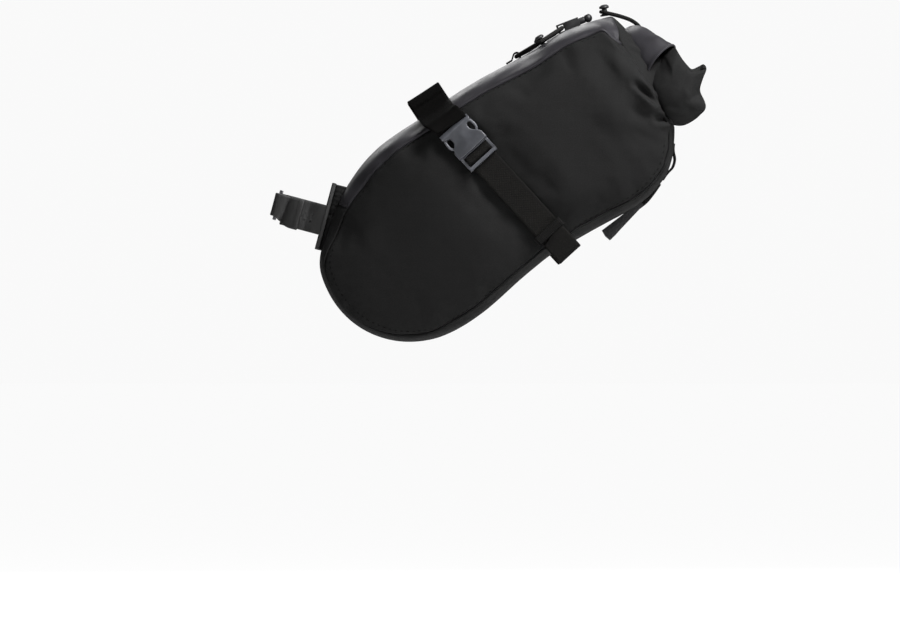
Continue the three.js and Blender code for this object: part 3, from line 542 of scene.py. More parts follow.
def swept_piece(name, path, across, section, used, body, replaced):
    obj = link(name, mesh_from(name, *sweep(path, across, section)))
    return finish_piece(obj, used, body, [replaced])


def mesh_of(bm, name, weld):
    """Ends a bmesh: welds points closer than weld metres and turns the faces outwards."""
    bmesh.ops.remove_doubles(bm, verts=bm.verts, dist=weld)
    bmesh.ops.dissolve_degenerate(bm, dist=1e-6, edges=bm.edges)
    bmesh.ops.recalc_face_normals(bm, faces=bm.faces)
    mesh = bpy.data.meshes.new(name)
    bm.to_mesh(mesh)
    bm.free()
    return mesh


def ripples(points, height, sizes):
    """Height of soft noise at each point; sizes are its lengths along x, y and z in mm."""
    return height * np.array([noise.noise(Vector(p / np.array(sizes, float))) for p in points])


def lofted_plate(stations, half_of, high_of, low, across_steps=12):
    """A moulded plate in (along, across, out): half_of gives its half width, high_of its upper face."""
    points, faces = [], []
    rows = len(stations)
    n = across_steps + 1
    for layer in (0, 1):
        for s in stations:
            half = half_of(s)
            for t in np.linspace(-1, 1, n):
                high = high_of(s, t * half)
                points.append((s, t * half, high if layer == 0 else low))

    def at(layer, r, c):
        return layer * rows * n + r * n + c

    for r in range(rows - 1):
        for c in range(n - 1):
            faces.append((at(0, r, c), at(0, r, c + 1), at(0, r + 1, c + 1), at(0, r + 1, c)))
            faces.append((at(1, r, c), at(1, r + 1, c), at(1, r + 1, c + 1), at(1, r, c + 1)))
        for c in (0, n - 1):
            faces.append((at(0, r, c), at(0, r + 1, c), at(1, r + 1, c), at(1, r, c)))
    for c in range(n - 1):
        for r in (0, rows - 1):
            faces.append((at(0, r, c), at(0, r, c + 1), at(1, r, c + 1), at(1, r, c)))
    return points, faces


def inflate(obj, pins, limits, pressure, frames, stiffness=12.0, shrink=0.0, bending=0.3):
    """Cloth simulation under inner pressure; no point moves further than its limit in mm."""
    rest = coordinates(obj.data)
    group = obj.vertex_groups.new(name="pin")
    for index in np.nonzero(pins > 0.01)[0]:
        group.add([int(index)], float(pins[index]), "REPLACE")
    cloth = obj.modifiers.new("cloth", "CLOTH")
    settings = cloth.settings
    settings.quality = 6
    settings.mass = 0.25
    settings.vertex_group_mass = "pin"
    settings.tension_stiffness = stiffness
    settings.compression_stiffness = stiffness
    settings.shear_stiffness = stiffness / 2
    settings.bending_stiffness = bending
    settings.use_pressure = True
    settings.uniform_pressure_force = pressure
    settings.shrink_min = shrink
    settings.effector_weights.gravity = 0
    cloth.collision_settings.use_collision = False
    cloth.collision_settings.use_self_collision = False
    scene = bpy.context.scene
    scene.frame_start = 1
    scene.frame_end = frames
    cloth.point_cache.frame_end = frames
    for number in range(1, frames + 1):
        scene.frame_set(number)
    apply_modifiers(obj)
    scene.frame_set(1)
    moved = coordinates(obj.data) - rest
    length = np.linalg.norm(moved, axis=1)
    allowed = limits * MM
    scale = allowed * np.tanh(length / np.maximum(allowed, 1e-9)) / np.maximum(length, 1e-9)
    set_coordinates(obj.data, rest + moved * scale[:, None])


def segment_distance(points, start, end):
    start, end = np.array(start, float), np.array(end, float)
    d = end - start
    t = np.clip(((points - start) @ d) / (d @ d), 0, 1)
    return np.linalg.norm(points - (start + t[:, None] * d), axis=1), t


# ---------------------------------------------------------------- the sewn body as one lofted tube
RINGS = 70
RING_CROWDING = 1.25  # above 1 the rings lie closer together towards the mouth
STRIP_STEPS = 20
SIDE_STEPS = 28
NECK_RINGS = 6
AROUND = 2 * STRIP_STEPS + 2 * SIDE_STEPS
SEAM_COLUMNS = (0, STRIP_STEPS, STRIP_STEPS + SIDE_STEPS, 2 * STRIP_STEPS + SIDE_STEPS)
PANELS = ["top_panel", "right_side_panel", "base_gusset", "left_side_panel", "mouth_collar"]
STRIP_INSET = 0.8  # the flat pattern starts this far inside, so that inflating it reaches the outline
# How far inflating moves the strips and the sides, and how the strap presses the side cloth.
INFLATION = {"strip": 1.6, "side": 7.0, "pressed_half": 11.5, "pressed_in": 0.6, "pressed_run": (14, 129)}

nose_arc = arc(NOSE["x"], NOSE["z"], NOSE["radius"], 187, 302, 7)
outline = spline(TOP_POINTS + nose_arc + BASE_POINTS, 1200)
outline_tangent = unit(np.gradient(outline, axis=0))
outline_inward = np.stack([-outline_tangent[:, 1], outline_tangent[:, 0]], axis=1)
outline_along = np.r_[0, np.cumsum(np.linalg.norm(np.diff(outline, axis=0), axis=1))]
tip_angle = math.radians(NOSE_TIP_DEGREES)
tip = np.array([NOSE["x"], NOSE["z"]]) + NOSE["radius"] * np.array([math.cos(tip_angle), math.sin(tip_angle)])
tip_along = outline_along[np.argmin(np.linalg.norm(outline - tip, axis=1))]

# Centre line of the rolled mouth: seen from the rear it is an arch whose ends droop beside the bag.
ROLL_PATH = [(211.5, 0, 120.5), (212.5, 18, 119.5), (216, 34, 116.5), (222, 45, 111.5), (230.5, 51.5, 104.5)]
ARCH = spline(ROLL_PATH + [(235, 51, 92), (236, 48, 78)], 40)


def on_outline(distance):
    """Point, inward normal and side wrap at a distance along the outline from the rear corner."""
    point = np.array([np.interp(distance, outline_along, outline[:, k]) for k in (0, 1)])
    inward = np.array([np.interp(distance, outline_along, outline_inward[:, k]) for k in (0, 1)])
    top = 1 - smoothstep(0.8 * TOP_PANEL_LENGTH, 1.15 * TOP_PANEL_LENGTH, distance)
    wrap = WRAP["base"] + (WRAP["top"] - WRAP["base"]) * top
    wrap += (WRAP["corner"] - WRAP["top"]) * (1 - smoothstep(0, WRAP["corner_run"], distance))
    return point, unit(inward), float(wrap)


def on_arch(share):
    """A point of the arch for share -1 to 1, left end to right end."""
    at = abs(share) * 40
    point = np.array([np.interp(at, range(41), ARCH[:, k]) for k in range(3)])
    point[1] *= math.copysign(1, share)
    return point


def strip_row(distance):
    point, inward, wrap = on_outline(distance)
    width = float(half_width(*point))
    row = []
    for angle in np.radians(np.linspace(-90, 90, STRIP_STEPS + 1)):
        x, z = point + inward * (wrap * (1 - math.cos(angle)) + STRIP_INSET)
        row.append(np.array([x, width * math.sin(angle), z]))
    return row


def side_column(start, end):
    crown = CROWN * min(1.0, np.linalg.norm(end - start) / 90)
    column = []
    for v in np.linspace(0, 1, SIDE_STEPS + 1)[1:-1]:
        place = start + (end - start) * v
        place[1] += math.copysign(crown * 4 * v * (1 - v), place[1])
        column.append(place)
    return column


def ring_share(i):
    """Share of the way from the nose to the mouth at ring i."""
    return 1 - (1 - i / RINGS) ** RING_CROWDING


def body_ring(i):
    share = ring_share(i)
    top = strip_row(tip_along * (1 - share))
    base = strip_row(tip_along + (outline_along[-1] - tip_along) * share)
    return top + side_column(top[-1], base[-1]) + base[::-1] + side_column(base[0], top[0])


def neck_ring(rim, k):
    """The rim gathered towards the rolled mouth, which lies flat along the arch."""
    rim = np.array(rim)
    steps = np.linalg.norm(rim - np.roll(rim, 1, axis=0), axis=1)
    along = np.cumsum(steps) - np.cumsum(steps)[STRIP_STEPS // 2]
    ring = []
    for point, q in zip(rim, (along / steps.sum()) % 1.0):
        side = 1 if q <= 0.5 else -1
        q = min(q, 1 - q) * 2
        layer = 1.5 if q < 0.5 else -1.5
        target = on_arch(side * (1 - abs(2 * q - 1))) + np.array([0.7, 0, 0.7]) * layer
        t = k / NECK_RINGS
        place = point + (target - point) * t
        place[1] = point[1] + (target[1] - point[1]) * t**0.7
        ring.append(place)
    return ring


def strap_frame(x, z):
    """Distance down the strap from the saddle rail, and distance across it."""
    dx, dz = x - RAIL["x"], z - RAIL["z"]
    c, s = math.cos(STRAP_TILT), math.sin(STRAP_TILT)
    return dx * c - dz * s, dx * s + dz * c


def strap_floor(distance):
    """Half width of the bag under the strap."""
    return HALF_WIDTH["rear"] + STRAP_CROWN * (1 - ((distance - STRAP_MIDDLE) / STRAP_HALF_RUN) ** 2)


def panel_of(ring, column, top_seam_ring):
    if ring >= RINGS:
        return 4
    if column < STRIP_STEPS:
        return 0 if ring >= top_seam_ring else 2
    if column < STRIP_STEPS + SIDE_STEPS:
        return 1
    return 2 if column < 2 * STRIP_STEPS + SIDE_STEPS else 3


def build_body():
    rings = [body_ring(i) for i in range(RINGS + 1)]
    rings += [neck_ring(rings[RINGS], k) for k in range(1, NECK_RINGS + 1)]
    grid = np.array(rings)
    from_top_corner = tip_along * (1 - ring_share(np.arange(RINGS + 1)))
    top_seam_ring = int(np.argmin(np.abs(from_top_corner - TOP_PANEL_LENGTH)))
    base_from = STRIP_STEPS + SIDE_STEPS
    pressed_from, pressed_to = INFLATION["pressed_run"]
    bm = bmesh.new()
    pin = bm.verts.layers.float.new("pin")
    seam = bm.verts.layers.float.new("seam")
    limit = bm.verts.layers.float.new("limit")
    uv = bm.loops.layers.uv.new("cloth_mm")
    verts = []
    for i, ring in enumerate(grid):
        row = []
        for j, (x, y, z) in enumerate(ring):
            v = bm.verts.new((x * MM, y * MM, z * MM))
            on_strip = j <= STRIP_STEPS or base_from <= j <= base_from + STRIP_STEPS
            on_top_seam = i == top_seam_ring and j <= STRIP_STEPS
            v[seam] = float(i <= RINGS and (j in SEAM_COLUMNS or on_top_seam))
            v[limit] = INFLATION["strip"] if on_strip else INFLATION["side"]
            down, over = strap_frame(x, z)
            under_strap = abs(over) < INFLATION["pressed_half"] and pressed_from < down < pressed_to
            if not on_strip and i <= RINGS and under_strap:
                v[pin] = 1.0
                v.co.y = math.copysign(strap_floor(down) - INFLATION["pressed_in"], y) * MM
            if i == len(grid) - 1:
                v[pin] = 1.0
            row.append(v)
        verts.append(row)
    for i in range(len(grid) - 1):
        for j in range(AROUND):
            corners = ((i, j), (i, j + 1), (i + 1, j + 1), (i + 1, j))
            face = bm.faces.new([verts[a][b % AROUND] for a, b in corners])
            face.material_index = panel_of(i, j, top_seam_ring)
            face.smooth = True
            side_face = face.material_index in (1, 3)
            for loop, (a, b) in zip(face.loops, corners):
                x, y, z = grid[a, b % AROUND]
                loop[uv].uv = (x, z) if side_face else (a * 5.0, b * 5.0)
    return link("body_tube", mesh_of(bm, "body_tube", 1e-5))


# Creases in side view, in mm: start, end, depth, width. Each has a soft ridge on both sides.
CREASES = [
    ((197.5, 125.5), (206.5, 118.5), 4.5, 2.4),
    ((212.5, 89.3), (226, 77), 4.6, 1.7),
    ((228, 65), (241, 65.5), 5.0, 1.9),
    ((186, 112), (203, 92), 2.2, 7.0),
    ((208, 72), (222, 66), 2.4, 5.0),
    ((205, 60), (228, 50), 1.6, 6.0),
    ((112, 20), (124, 2), 1.6, 4.0),
    ((104, 26), (116, 8), 1.4, 4.0),
    ((146, 28), (160, 14), 1.5, 5.0),
    ((160, -6), (172, 6), 1.6, 4.0),
    ((176, 2), (196, 14), 1.4, 5.0),
]
# Soft ridges in side view, in mm: start, end, height, width.
RIDGES = [
    ((194, 108), (214, 92), 3.0, 6.0),
    ((214, 80), (228, 70), 3.0, 5.0),
    ((190, 78), (212, 58), 2.2, 9.0),
]


def crease_field(points):
    """How far the cloth is pushed in, in mm, at points of the side view."""
    push = np.zeros(len(points))
    for start, end, depth, width in CREASES:
        distance, t = segment_distance(points, start, end)
        fade = np.sin(np.pi * np.clip(0.12 + 0.76 * t, 0, 1))
        groove = np.exp(-np.abs(distance / width) ** 1.3)
        banks = np.exp(-(((distance - 2.3 * width) / width) ** 2))
        push += depth * fade * (groove - 0.35 * banks)
    for start, end, height, width in RIDGES:
        distance, t = segment_distance(points, start, end)
        push -= height * np.sin(np.pi * np.clip(0.1 + 0.8 * t, 0, 1)) * np.exp(-((distance / width) ** 2))
    return push


def wrinkle_field(points, y):
    """Soft wrinkles that run down the bag, stronger towards the neck and beside the strap."""
    down, over = strap_frame(points[:, 0], points[:, 1])
    near_neck = smoothstep(95, 150, over)
    near_strap = np.exp(-(((np.abs(over) - 17) / 9) ** 2)) * smoothstep(15, 40, down)
    lower_rear = smoothstep(30, 80, over) * smoothstep(60, 100, down)
    strength = 0.5 + 0.7 * near_neck + 1.6 * near_strap + 0.8 * lower_rear
    values = np.empty(len(points))
    for k, (x, z) in enumerate(points):
        side = 3.0 if y[k] > 0 else -3.0
        broad = noise.noise(Vector((x / 30, z / 55, side)))
        fine = noise.noise(Vector((over[k] / 10, down[k] / 36, side * 2)))
        values[k] = 0.8 * broad + 0.6 * fine
    return values * strength


def crumple(obj):
    mesh = obj.data
    co, n = coordinates(mesh), normals(mesh)
    mm = co / MM
    points = mm[:, [0, 2]]
    flat = smoothstep(0.35, 0.8, np.abs(n[:, 1]))
    push = crease_field(points) * flat
    push -= wrinkle_field(points, mm[:, 1]) * (0.2 + 0.8 * flat)
    down, over = strap_frame(points[:, 0], points[:, 1])
    beside = smoothstep(10.5, 14, np.abs(over))
    push *= np.where((down > 14) & (down < 130), beside, 1.0)
    push += 1.0 * smoothstep(0.3, 1.0, attribute(mesh, "seam"))
    set_coordinates(mesh, co - n * push[:, None] * MM)


def split_panels(obj):
    """Cuts the sewn body into its panels and gives each its thickness."""
    panels = {}
    for index, name in enumerate(PANELS):
        bm = bmesh.new()
        bm.from_mesh(obj.data)
        bmesh.ops.delete(bm, geom=[f for f in bm.faces if f.material_index != index], context="FACES")
        for f in bm.faces:
            f.material_index = 0
            f.smooth = True
        mesh = bpy.data.meshes.new(name + "_cloth")
        bm.to_mesh(mesh)
        bm.free()
        piece = link(name + "_cloth", mesh)
        solid = piece.modifiers.new("thickness", "SOLIDIFY")
        solid.thickness = CLOTH * MM
        solid.offset = -1
        apply_modifiers(piece)
        panels[name] = piece
    return panels


body = build_body()
inflate(body, attribute(body.data, "pin"), attribute(body.data, "limit"), 5.0, 20, shrink=-0.02)
subdivide(body)
crumple(body)

# Stitch rows on a side panel: start and end along the outline, and how far inside it they lie.
STITCH_ROWS = [
    (TOP_PANEL_LENGTH + 6, outline_along[-1] - 8, WRAP["base"] + 3.6),
    (14, TOP_PANEL_LENGTH - 6, WRAP["top"] + 3.4),
]
STITCH_ROW_STEP = 4.0


def side_stitches(side):
    """Two rows of stitches on the side panel, just inside its seams with the base and the top."""
    co, n = coordinates(body.data) / MM, normals(body.data)
    on_side = (np.abs(n[:, 1]) > 0.2) & (co[:, 1] * side > 0)
    places, facings = co[on_side], n[on_side]
    meshes = []
    for low, high, inset in STITCH_ROWS:
        line, out = [], []
        for distance in np.arange(low, high, STITCH_ROW_STEP):
            point, inward = on_outline(distance)[:2]
            x, z = point + inward * inset
            apart = (places[:, 0] - x) ** 2 + (places[:, 2] - z) ** 2
            near = np.argsort(apart)[:4]
            weight = 1 / (0.05 + apart[near])
            line.append((x, np.average(places[near, 1], weights=weight), z))
            out.append(np.average(facings[near], axis=0, weights=weight))
        meshes.append(stitch_mesh("stitches", line, out))
    return meshes


stitches = {name: side_stitches(side) for name, side in SIDES.items()}
panels = split_panels(body)
bpy.data.objects.remove(body)
for name in SIDES:
    piece = panels[name + "_side_panel"]
    piece.data.materials.clear()
    piece.data.materials.append(WOVEN)
    join_meshes(piece, *[(mesh, THREAD) for mesh in stitches[name]])
    finish_piece(piece, WOVEN, "bag", [name + "_side_panel"], keep_slots=True)
finish_piece(panels["top_panel"], COATED, "bag", ["top_panel"])
finish_piece(panels["base_gusset"], WOVEN, "bag", ["base_gusset"])
finish_piece(panels["mouth_collar"], WOVEN, None, ["mouth_collar"])
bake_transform(panels["mouth_collar"])
for part in ("top_stiffener", "base_stiffener"):
    bevelled_copy(part, part + "_sheet", SHEET, 0.2)

# ---------------------------------------------------------------- rolled closure
BAND_ACROSS = unit((0.656, 0, 0.755))  # long axis of the roll's oval section
BAND = {"thickness": 1.4, "across": (10.8, 13.8), "through": (9.6, 9.6), "binding": 1.0, "lip": 1.1}
OVAL_POINTS = 40


def roll_path(steps):
    """Centre line of the coated band from its left end to its right end."""
    half = spline(ROLL_PATH, steps)
    mirrored = half[:0:-1] * np.array([1, -1, 1])
    return np.vstack([mirrored, half])


def oval(across, through, count, dent=0.0):
    ring = []
    for a in np.linspace(0, 2 * math.pi, count, endpoint=False):
        ring.append((across * math.cos(a) * (1 - dent * math.sin(3 * a)), through * math.sin(a)))
    return np.array(ring)


def band_sections(path, inset):
    """The oval at each point of the path, made smaller by inset for the inner face."""
    sections = []
    for share, place in zip(np.abs(np.linspace(-1, 1, len(path))), path):
        grow = share**1.5
        half = [low + (high - low) * grow - inset for low, high in (BAND["across"], BAND["through"])]
        wobble = 0.03 * noise.noise(Vector((place[1] / 16, 0.3, 0.7)))
        sections.append(oval(*half, OVAL_POINTS, 0.02 + wobble))
    return sections


def band_piece():
    """Coated cloth rolled into an oval tube along the arch, with a bound rim at each open end."""
    path = roll_path(24)
    count = len(path)
    outer, faces, uvs = sweep(path, BAND_ACROSS, band_sections(path, 0))
    inner = sweep(path, BAND_ACROSS, band_sections(path, BAND["thickness"]))[0]
    n = OVAL_POINTS
    faces = faces[:-2]
    offset = len(outer)
    faces += [tuple(offset + k for k in reversed(face)) for face in faces]
    for start in (0, (count - 1) * n):
        for k in range(n):
            m = (k + 1) % n
            faces.append((start + k, start + m, offset + start + m, offset + start + k))
    mesh = mesh_from("closure_band_cloth", outer + inner, faces, uvs + uvs)
    obj = link("closure_band_cloth", mesh)
    subdivide(obj)
    co, out = coordinates(obj.data), normals(obj.data)
    set_coordinates(obj.data, co + out * ripples(co / MM, 0.9, (12, 16, 12))[:, None] * MM)
    obj.data.materials.append(COATED)
    trims = []
    for ring in (np.array(outer[:n]), np.array(outer[-n:])):
        centre = ring.mean(axis=0)
        rim = [tuple(p) for p in centre + (ring - centre) * 0.99]
        trims.append((cord_mesh("binding", rim, BAND["binding"], 90, True), COATED))
    lip_offset = BAND_ACROSS * (BAND["across"][0] + 0.6) + np.array([1.2, 0, -1.0])
    lip = [tuple(path[k] + lip_offset) for k in range(6, count - 6)]
    trims.append((cord_mesh("lip", lip, BAND["lip"], 80), COATED))
    join_meshes(obj, *trims)
    return finish_piece(obj, COATED, "closure", ["closure_band"], keep_slots=True)


band_piece()

# Boundary of a drooping end in side view: upper edge, free end and lower edge, root to tip.
END_UPPER = [(232, 121), (240, 115), (243.5, 109), (247, 103.5), (251, 99.5), (255, 101), (259.5, 103.5)]
END_LOWER = [(214, 100.5), (221.5, 94.5), (224.5, 88), (226, 81.5), (229.5, 73.5), (235, 67.5), (241, 64)]
END_FREE = [
    (241, 64), (249, 63), (257, 67.5), (262, 73), (260.5, 80), (258.5, 85), (260.5, 93), (263, 101),
    (259.5, 103.5),
]
END_MIDDLE = {"root": 37.0, "free": 55.5, "settled": 0.42}  # distance from the middle plane
END_DEPTH = {"root": 6.0, "growth": 3.6, "tail_from": 0.72}  # half thickness before it is filled
END_GRID = {"along": 22, "across": 20, "edge": 60}
# Creases of a drooping end in side view, in mm: start, end, depth, width.
END_CREASES = [
    ((244, 108), (236, 92), 1.0, 5.0),
    ((252, 99), (262, 101.5), 2.6, 2.2),
    ((250, 97), (243, 84), 1.6, 4.0),
    ((261, 86), (250, 78), 2.2, 3.0),
    ((232, 74), (243, 72), 1.4, 4.0),
    ((256, 67), (244, 76), 1.0, 4.0),
]


def coons(lower, upper, root, free, u, v):
    """Point of the patch between four edges: u from root to free, v from lower to upper."""

    def at(line, t):
        position = t * (len(line) - 1)
        i = min(int(position), len(line) - 2)
        return line[i] + (line[i + 1] - line[i]) * (position - i)

    ruled_v = (1 - v) * at(lower, u) + v * at(upper, u)
    ruled_u = (1 - u) * at(root, v) + u * at(free, v)
    corners = (1 - u) * ((1 - v) * lower[0] + v * upper[0]) + u * ((1 - v) * lower[-1] + v * upper[-1])
    return ruled_v + ruled_u - corners


def end_rows():
    """Side-view place, half thickness and distance from the middle plane, in rows from root to tip."""
    upper, lower, free = (spline(edge, END_GRID["edge"]) for edge in (END_UPPER, END_LOWER, END_FREE))
    root = even([END_LOWER[0], END_UPPER[0]], END_GRID["edge"])
    rows = []
    for i in range(END_GRID["along"] + 1):
        u = i / END_GRID["along"]
        tail = (1 - smoothstep(END_DEPTH["tail_from"], 1.0, u)) ** 0.6
        emerge = float(smoothstep(0, END_MIDDLE["settled"], u))
        middle = END_MIDDLE["root"] + (END_MIDDLE["free"] - END_MIDDLE["root"]) * emerge
        row = []
        for j in range(END_GRID["across"] + 1):
            v = j / END_GRID["across"]
            x, z = coons(lower, upper, root, free, u, v)
            rim = max(0.0, 1 - (2 * v - 1) ** 2) ** 0.5
            row.append((x, z, (END_DEPTH["root"] + END_DEPTH["growth"] * emerge) * rim * tail, middle))
        rows.append(row)
    return rows


def end_mesh(name, rows, side):
    """The pillow before it is filled: two layers of cloth joined along the rim and at the root."""
    bm = bmesh.new()
    pin = bm.verts.layers.float.new("pin")
    uv = bm.loops.layers.uv.new("cloth_mm")
    layers = []
    for sign in (1, -1):
        layer = []
        for i, row in enumerate(rows):
            line = []
            for x, z, depth, y in row:
                v = bm.verts.new((x * MM, side * (y + sign * depth) * MM, z * MM))
                v[pin] = 1.0 if i < 3 else 0.0
                line.append(v)
            layer.append(line)
        layers.append(layer)
        for i in range(END_GRID["along"]):
            for j in range(END_GRID["across"]):
                corners = ((i, j), (i, j + 1), (i + 1, j + 1), (i + 1, j))
                face = bm.faces.new([layer[a][b] for a, b in corners])
                for loop, (a, b) in zip(face.loops, corners):
                    loop[uv].uv = rows[a][b][:2]
                face.smooth = True
    front, back = layers[0][0], layers[1][0]
    for j in range(END_GRID["across"]):
        bm.faces.new((front[j], front[j + 1], back[j + 1], back[j]))
    return mesh_of(bm, name, 2e-5)


def end_piece(prefix):
    """A drooping end of the roll: a soft pillow of folded cloth with a standing corner."""
    name = prefix + "_closure_end_cloth"
    obj = link(name, end_mesh(name, end_rows(), SIDES[prefix]))
    limits = np.full(len(obj.data.vertices), 2.5)
    inflate(obj, attribute(obj.data, "pin"), limits, 2.5, 14, shrink=-0.04)
    subdivide(obj, 2)
    co, n = coordinates(obj.data), normals(obj.data)
    mm = co / MM
    push = np.zeros(len(co))
    for start, end, depth, width in END_CREASES:
        distance, t = segment_distance(mm[:, [0, 2]], start, end)
        push += depth * np.sin(np.pi * (0.15 + 0.7 * t)) * np.exp(-np.abs(distance / width) ** 1.6)
    push *= smoothstep(0.2, 0.7, np.abs(n[:, 1]))
    push += ripples(mm, 0.7, (14, 12, 18))
    set_coordinates(obj.data, co - n * push[:, None] * MM)
    finish_piece(obj, WOVEN, "closure", [prefix + "_closure_end"])


for prefix in SIDES:
    end_piece(prefix)


# ---------------------------------------------------------------- side straps
BUCKLE = {
    "start": 26.0, "clearance": 1.0, "length": 21.0, "height": 7.0, "half": 12.3, "waist": 7.4,
    "ladder": 32.2,
}
BUCKLE_RISE = strap_floor(BUCKLE["start"] + BUCKLE["ladder"]) - strap_floor(BUCKLE["start"])
BUCKLE_TURN = math.atan2(BUCKLE_RISE, BUCKLE["ladder"])
BUCKLE_MOUTH = {"from": 17.5, "to": 22, "half": 10.9, "low": 1.4, "high": 5.4}
BOX_FACES = [(0, 1, 3, 2), (4, 6, 7, 5), (0, 4, 5, 1), (2, 3, 7, 6), (0, 2, 6, 4), (1, 5, 7, 3)]
ARM = {"half_width": 1.7, "half_thickness": 0.85, "out": 3.4}
TAB = {"width": 19, "thickness": 2.4}
KEEPER = {"down": 123, "half": 11.0, "stand": 5.4, "width": 6, "thickness": 0.8}
WRAP_BAND = {"clearance": 1.4, "width": 25.5, "narrowing": 3.0, "thickness": 1.6, "shift": 4.3}
WEB_LIFT = 0.3  # gap between two layers of webbing
FOLD_FROM = 133  # distance down the strap where the free end is folded back


def strap_place(side, down, out, over=0.0):
    """World point from the distance down the strap, out from the middle plane and across the strap."""
    c, s = math.cos(STRAP_TILT), math.sin(STRAP_TILT)
    return (RAIL["x"] + down * c + over * s, side * out, RAIL["z"] - down * s + over * c)


def strap_axis(side, down=0, over=0):
    """World direction of a step down or across the strap."""
    return np.array(strap_place(side, down, 0, over)) - np.array(strap_place(side, 0, 0, 0))


def from_buckle(along, out):
    """Strap distances of a point given along the buckle and out from its inner face."""
    c, s = math.cos(BUCKLE_TURN), math.sin(BUCKLE_TURN)
    floor = strap_floor(BUCKLE["start"]) + BUCKLE["clearance"]
    return BUCKLE["start"] + along * c - out * s, floor + along * s + out * c


def buckle_place(side, along, over, out):
    return strap_place(side, *from_buckle(along, out), over)


def webbing_line():
    """Webbing seen edge on, as (down, out): up to the ladder, over its bar, down again and folded."""
    lift = WEB_LIFT + WEB["thickness"] / 2
    tail_lift = lift + WEB["thickness"] + WEB_LIFT
    load = [(s, strap_floor(s) + lift) for s in (FOLD_FROM, 124, 112, 100, 88, 76, 66)]
    round_bar = [
        (28, 0.3), (24.9, 0.55), (23.6, 2), (23.6, 4.6), (24.6, 6.0), (27.2, 6.0), (28.3, 4.8), (28.8, 3.1),
        (30.6, 2.35), (34, 2.3),
    ]
    over_bar = [from_buckle(*p) for p in round_bar]
    tail = [(s, strap_floor(s) + tail_lift) for s in (70, 82, 94, 106, 118, 128)]
    edge = strap_floor(FOLD_FROM) + tail_lift
    fold = [
        (134, edge + 0.6), (139, edge + 1.0), (142.5, edge + 0.2), (144, edge + 2.2), (142.5, edge + 4.4),
        (138, edge + 5.0), (132, edge + 4.2), (127.5, edge + 2.6),
    ]
    return load + over_bar + tail + fold


def webbing_piece(prefix):
    side = SIDES[prefix]
    line = spline(webbing_line(), 190)
    path = [strap_place(side, down, out) for down, out in line]
    section = flat_section(WEB["width"], WEB["thickness"])
    points, faces, uvs = sweep(path, strap_axis(side, over=1), section)
    up_strap = strap_axis(side, down=-1)
    for i, share in enumerate(smoothstep(181, 190, np.arange(len(path)))):
        for k, (u, _) in enumerate(section):
            swing = 3.4 * float(smoothstep(-8, 3, u)) - 0.8
            points[i * len(section) + k] = points[i * len(section) + k] + up_strap * (share * swing)
    name = prefix + "_webbing_woven"
    obj = link(name, mesh_from(name, points, faces, uvs))
    obj.data.materials.append(WEBBING)
    ends = [np.array(strap_place(side, 129.5, line[-1][1] + 1.4, over)) for over in (-8, 8)]
    tack = [tuple(ends[0] + (ends[1] - ends[0]) * t) for t in np.linspace(0, 1, 9)]
    join_meshes(obj, (stitch_mesh("tack", tack, [(0, side, 0)] * len(tack)), THREAD))
    finish_piece(obj, WEBBING, None, [prefix + "_webbing"], keep_slots=True)
    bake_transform(obj)


def female_piece(prefix):
    """The outer half of the buckle: an hourglass with a roof ridge, open at the rear."""
    side = SIDES[prefix]
    full, waist, height = BUCKLE["half"], BUCKLE["waist"], BUCKLE["height"]

    def half_of(s):
        pinch = smoothstep(3.4, 6.4, s) * (1 - smoothstep(9.0, 16.5, s))
        return full - (full - waist) * float(pinch)

    def high_of(s, v):
        roof = 1.1 * (1 - abs(v) / full)
        front = 1 - 0.35 * float(1 - smoothstep(0, 3, s))
        return (height - 1.0 + roof) * front

    stations = [*np.linspace(0, 3, 4), *np.linspace(3.5, 17, 22), *np.linspace(18, BUCKLE["length"], 4)]
    points, faces = lofted_plate(stations, half_of, high_of, 0.2)
    world = [buckle_place(side, s, v, out) for s, v, out in points]
    obj = link(prefix + "_buckle_female_moulded", mesh_from("female", world, faces))
    add_bevel(obj, 0.5, 3, 40)
    apply_modifiers(obj)
    shade_smooth(obj, 45)
    corners = [
        buckle_place(side, s, v, out)
        for s in (BUCKLE_MOUTH["from"], BUCKLE_MOUTH["to"])
        for v in (-BUCKLE_MOUTH["half"], BUCKLE_MOUTH["half"])
        for out in (BUCKLE_MOUTH["low"], BUCKLE_MOUTH["high"])
    ]
    cut_away(obj, link("mouth_cut", mesh_from("mouth_cut", corners, BOX_FACES, smooth=False)))
    finish_piece(obj, PLASTIC, "bag", [prefix + "_buckle_female"])


def arm_piece(prefix, end, over_sign):
    """A springy side arm: a thin bar that bows out through the waist of the buckle."""
    side = SIDES[prefix]
    line = [(18.2, 8.2), (14.6, 8.8), (12.8, 10.4), (11, 11.6), (7.4, 11.7), (5.2, 11.3), (4.6, 10.2)]
    path = [buckle_place(side, s, over_sign * v, ARM["out"]) for s, v in spline(line, 28)]
    out_axis = np.array(buckle_place(side, 0, 0, 1)) - np.array(buckle_place(side, 0, 0, 0))
    w, t = ARM["half_width"], ARM["half_thickness"]
    lower = [(-w, -t * 0.7), (-w * 0.8, -t), (w * 0.8, -t), (w, -t * 0.7)]
    section = lower + [(-u, -v) for u, v in lower]
    node_name = f"{prefix}_buckle_arm_{end}"
    name = node_name + "_moulded"
    swept_piece(name, path, out_axis, section, PLASTIC, f"{prefix}_{end}_arm", node_name)


def rail_place(side, down, out, over=0.0):
    """World point in the frame of the wrap: down from the rail, out from the middle, along the rail."""
    c, s = math.cos(WRAP_TILT), math.sin(WRAP_TILT)
    return (RAIL["x"] + down * c + over * s, side * out, RAIL["z"] - down * s + over * c)


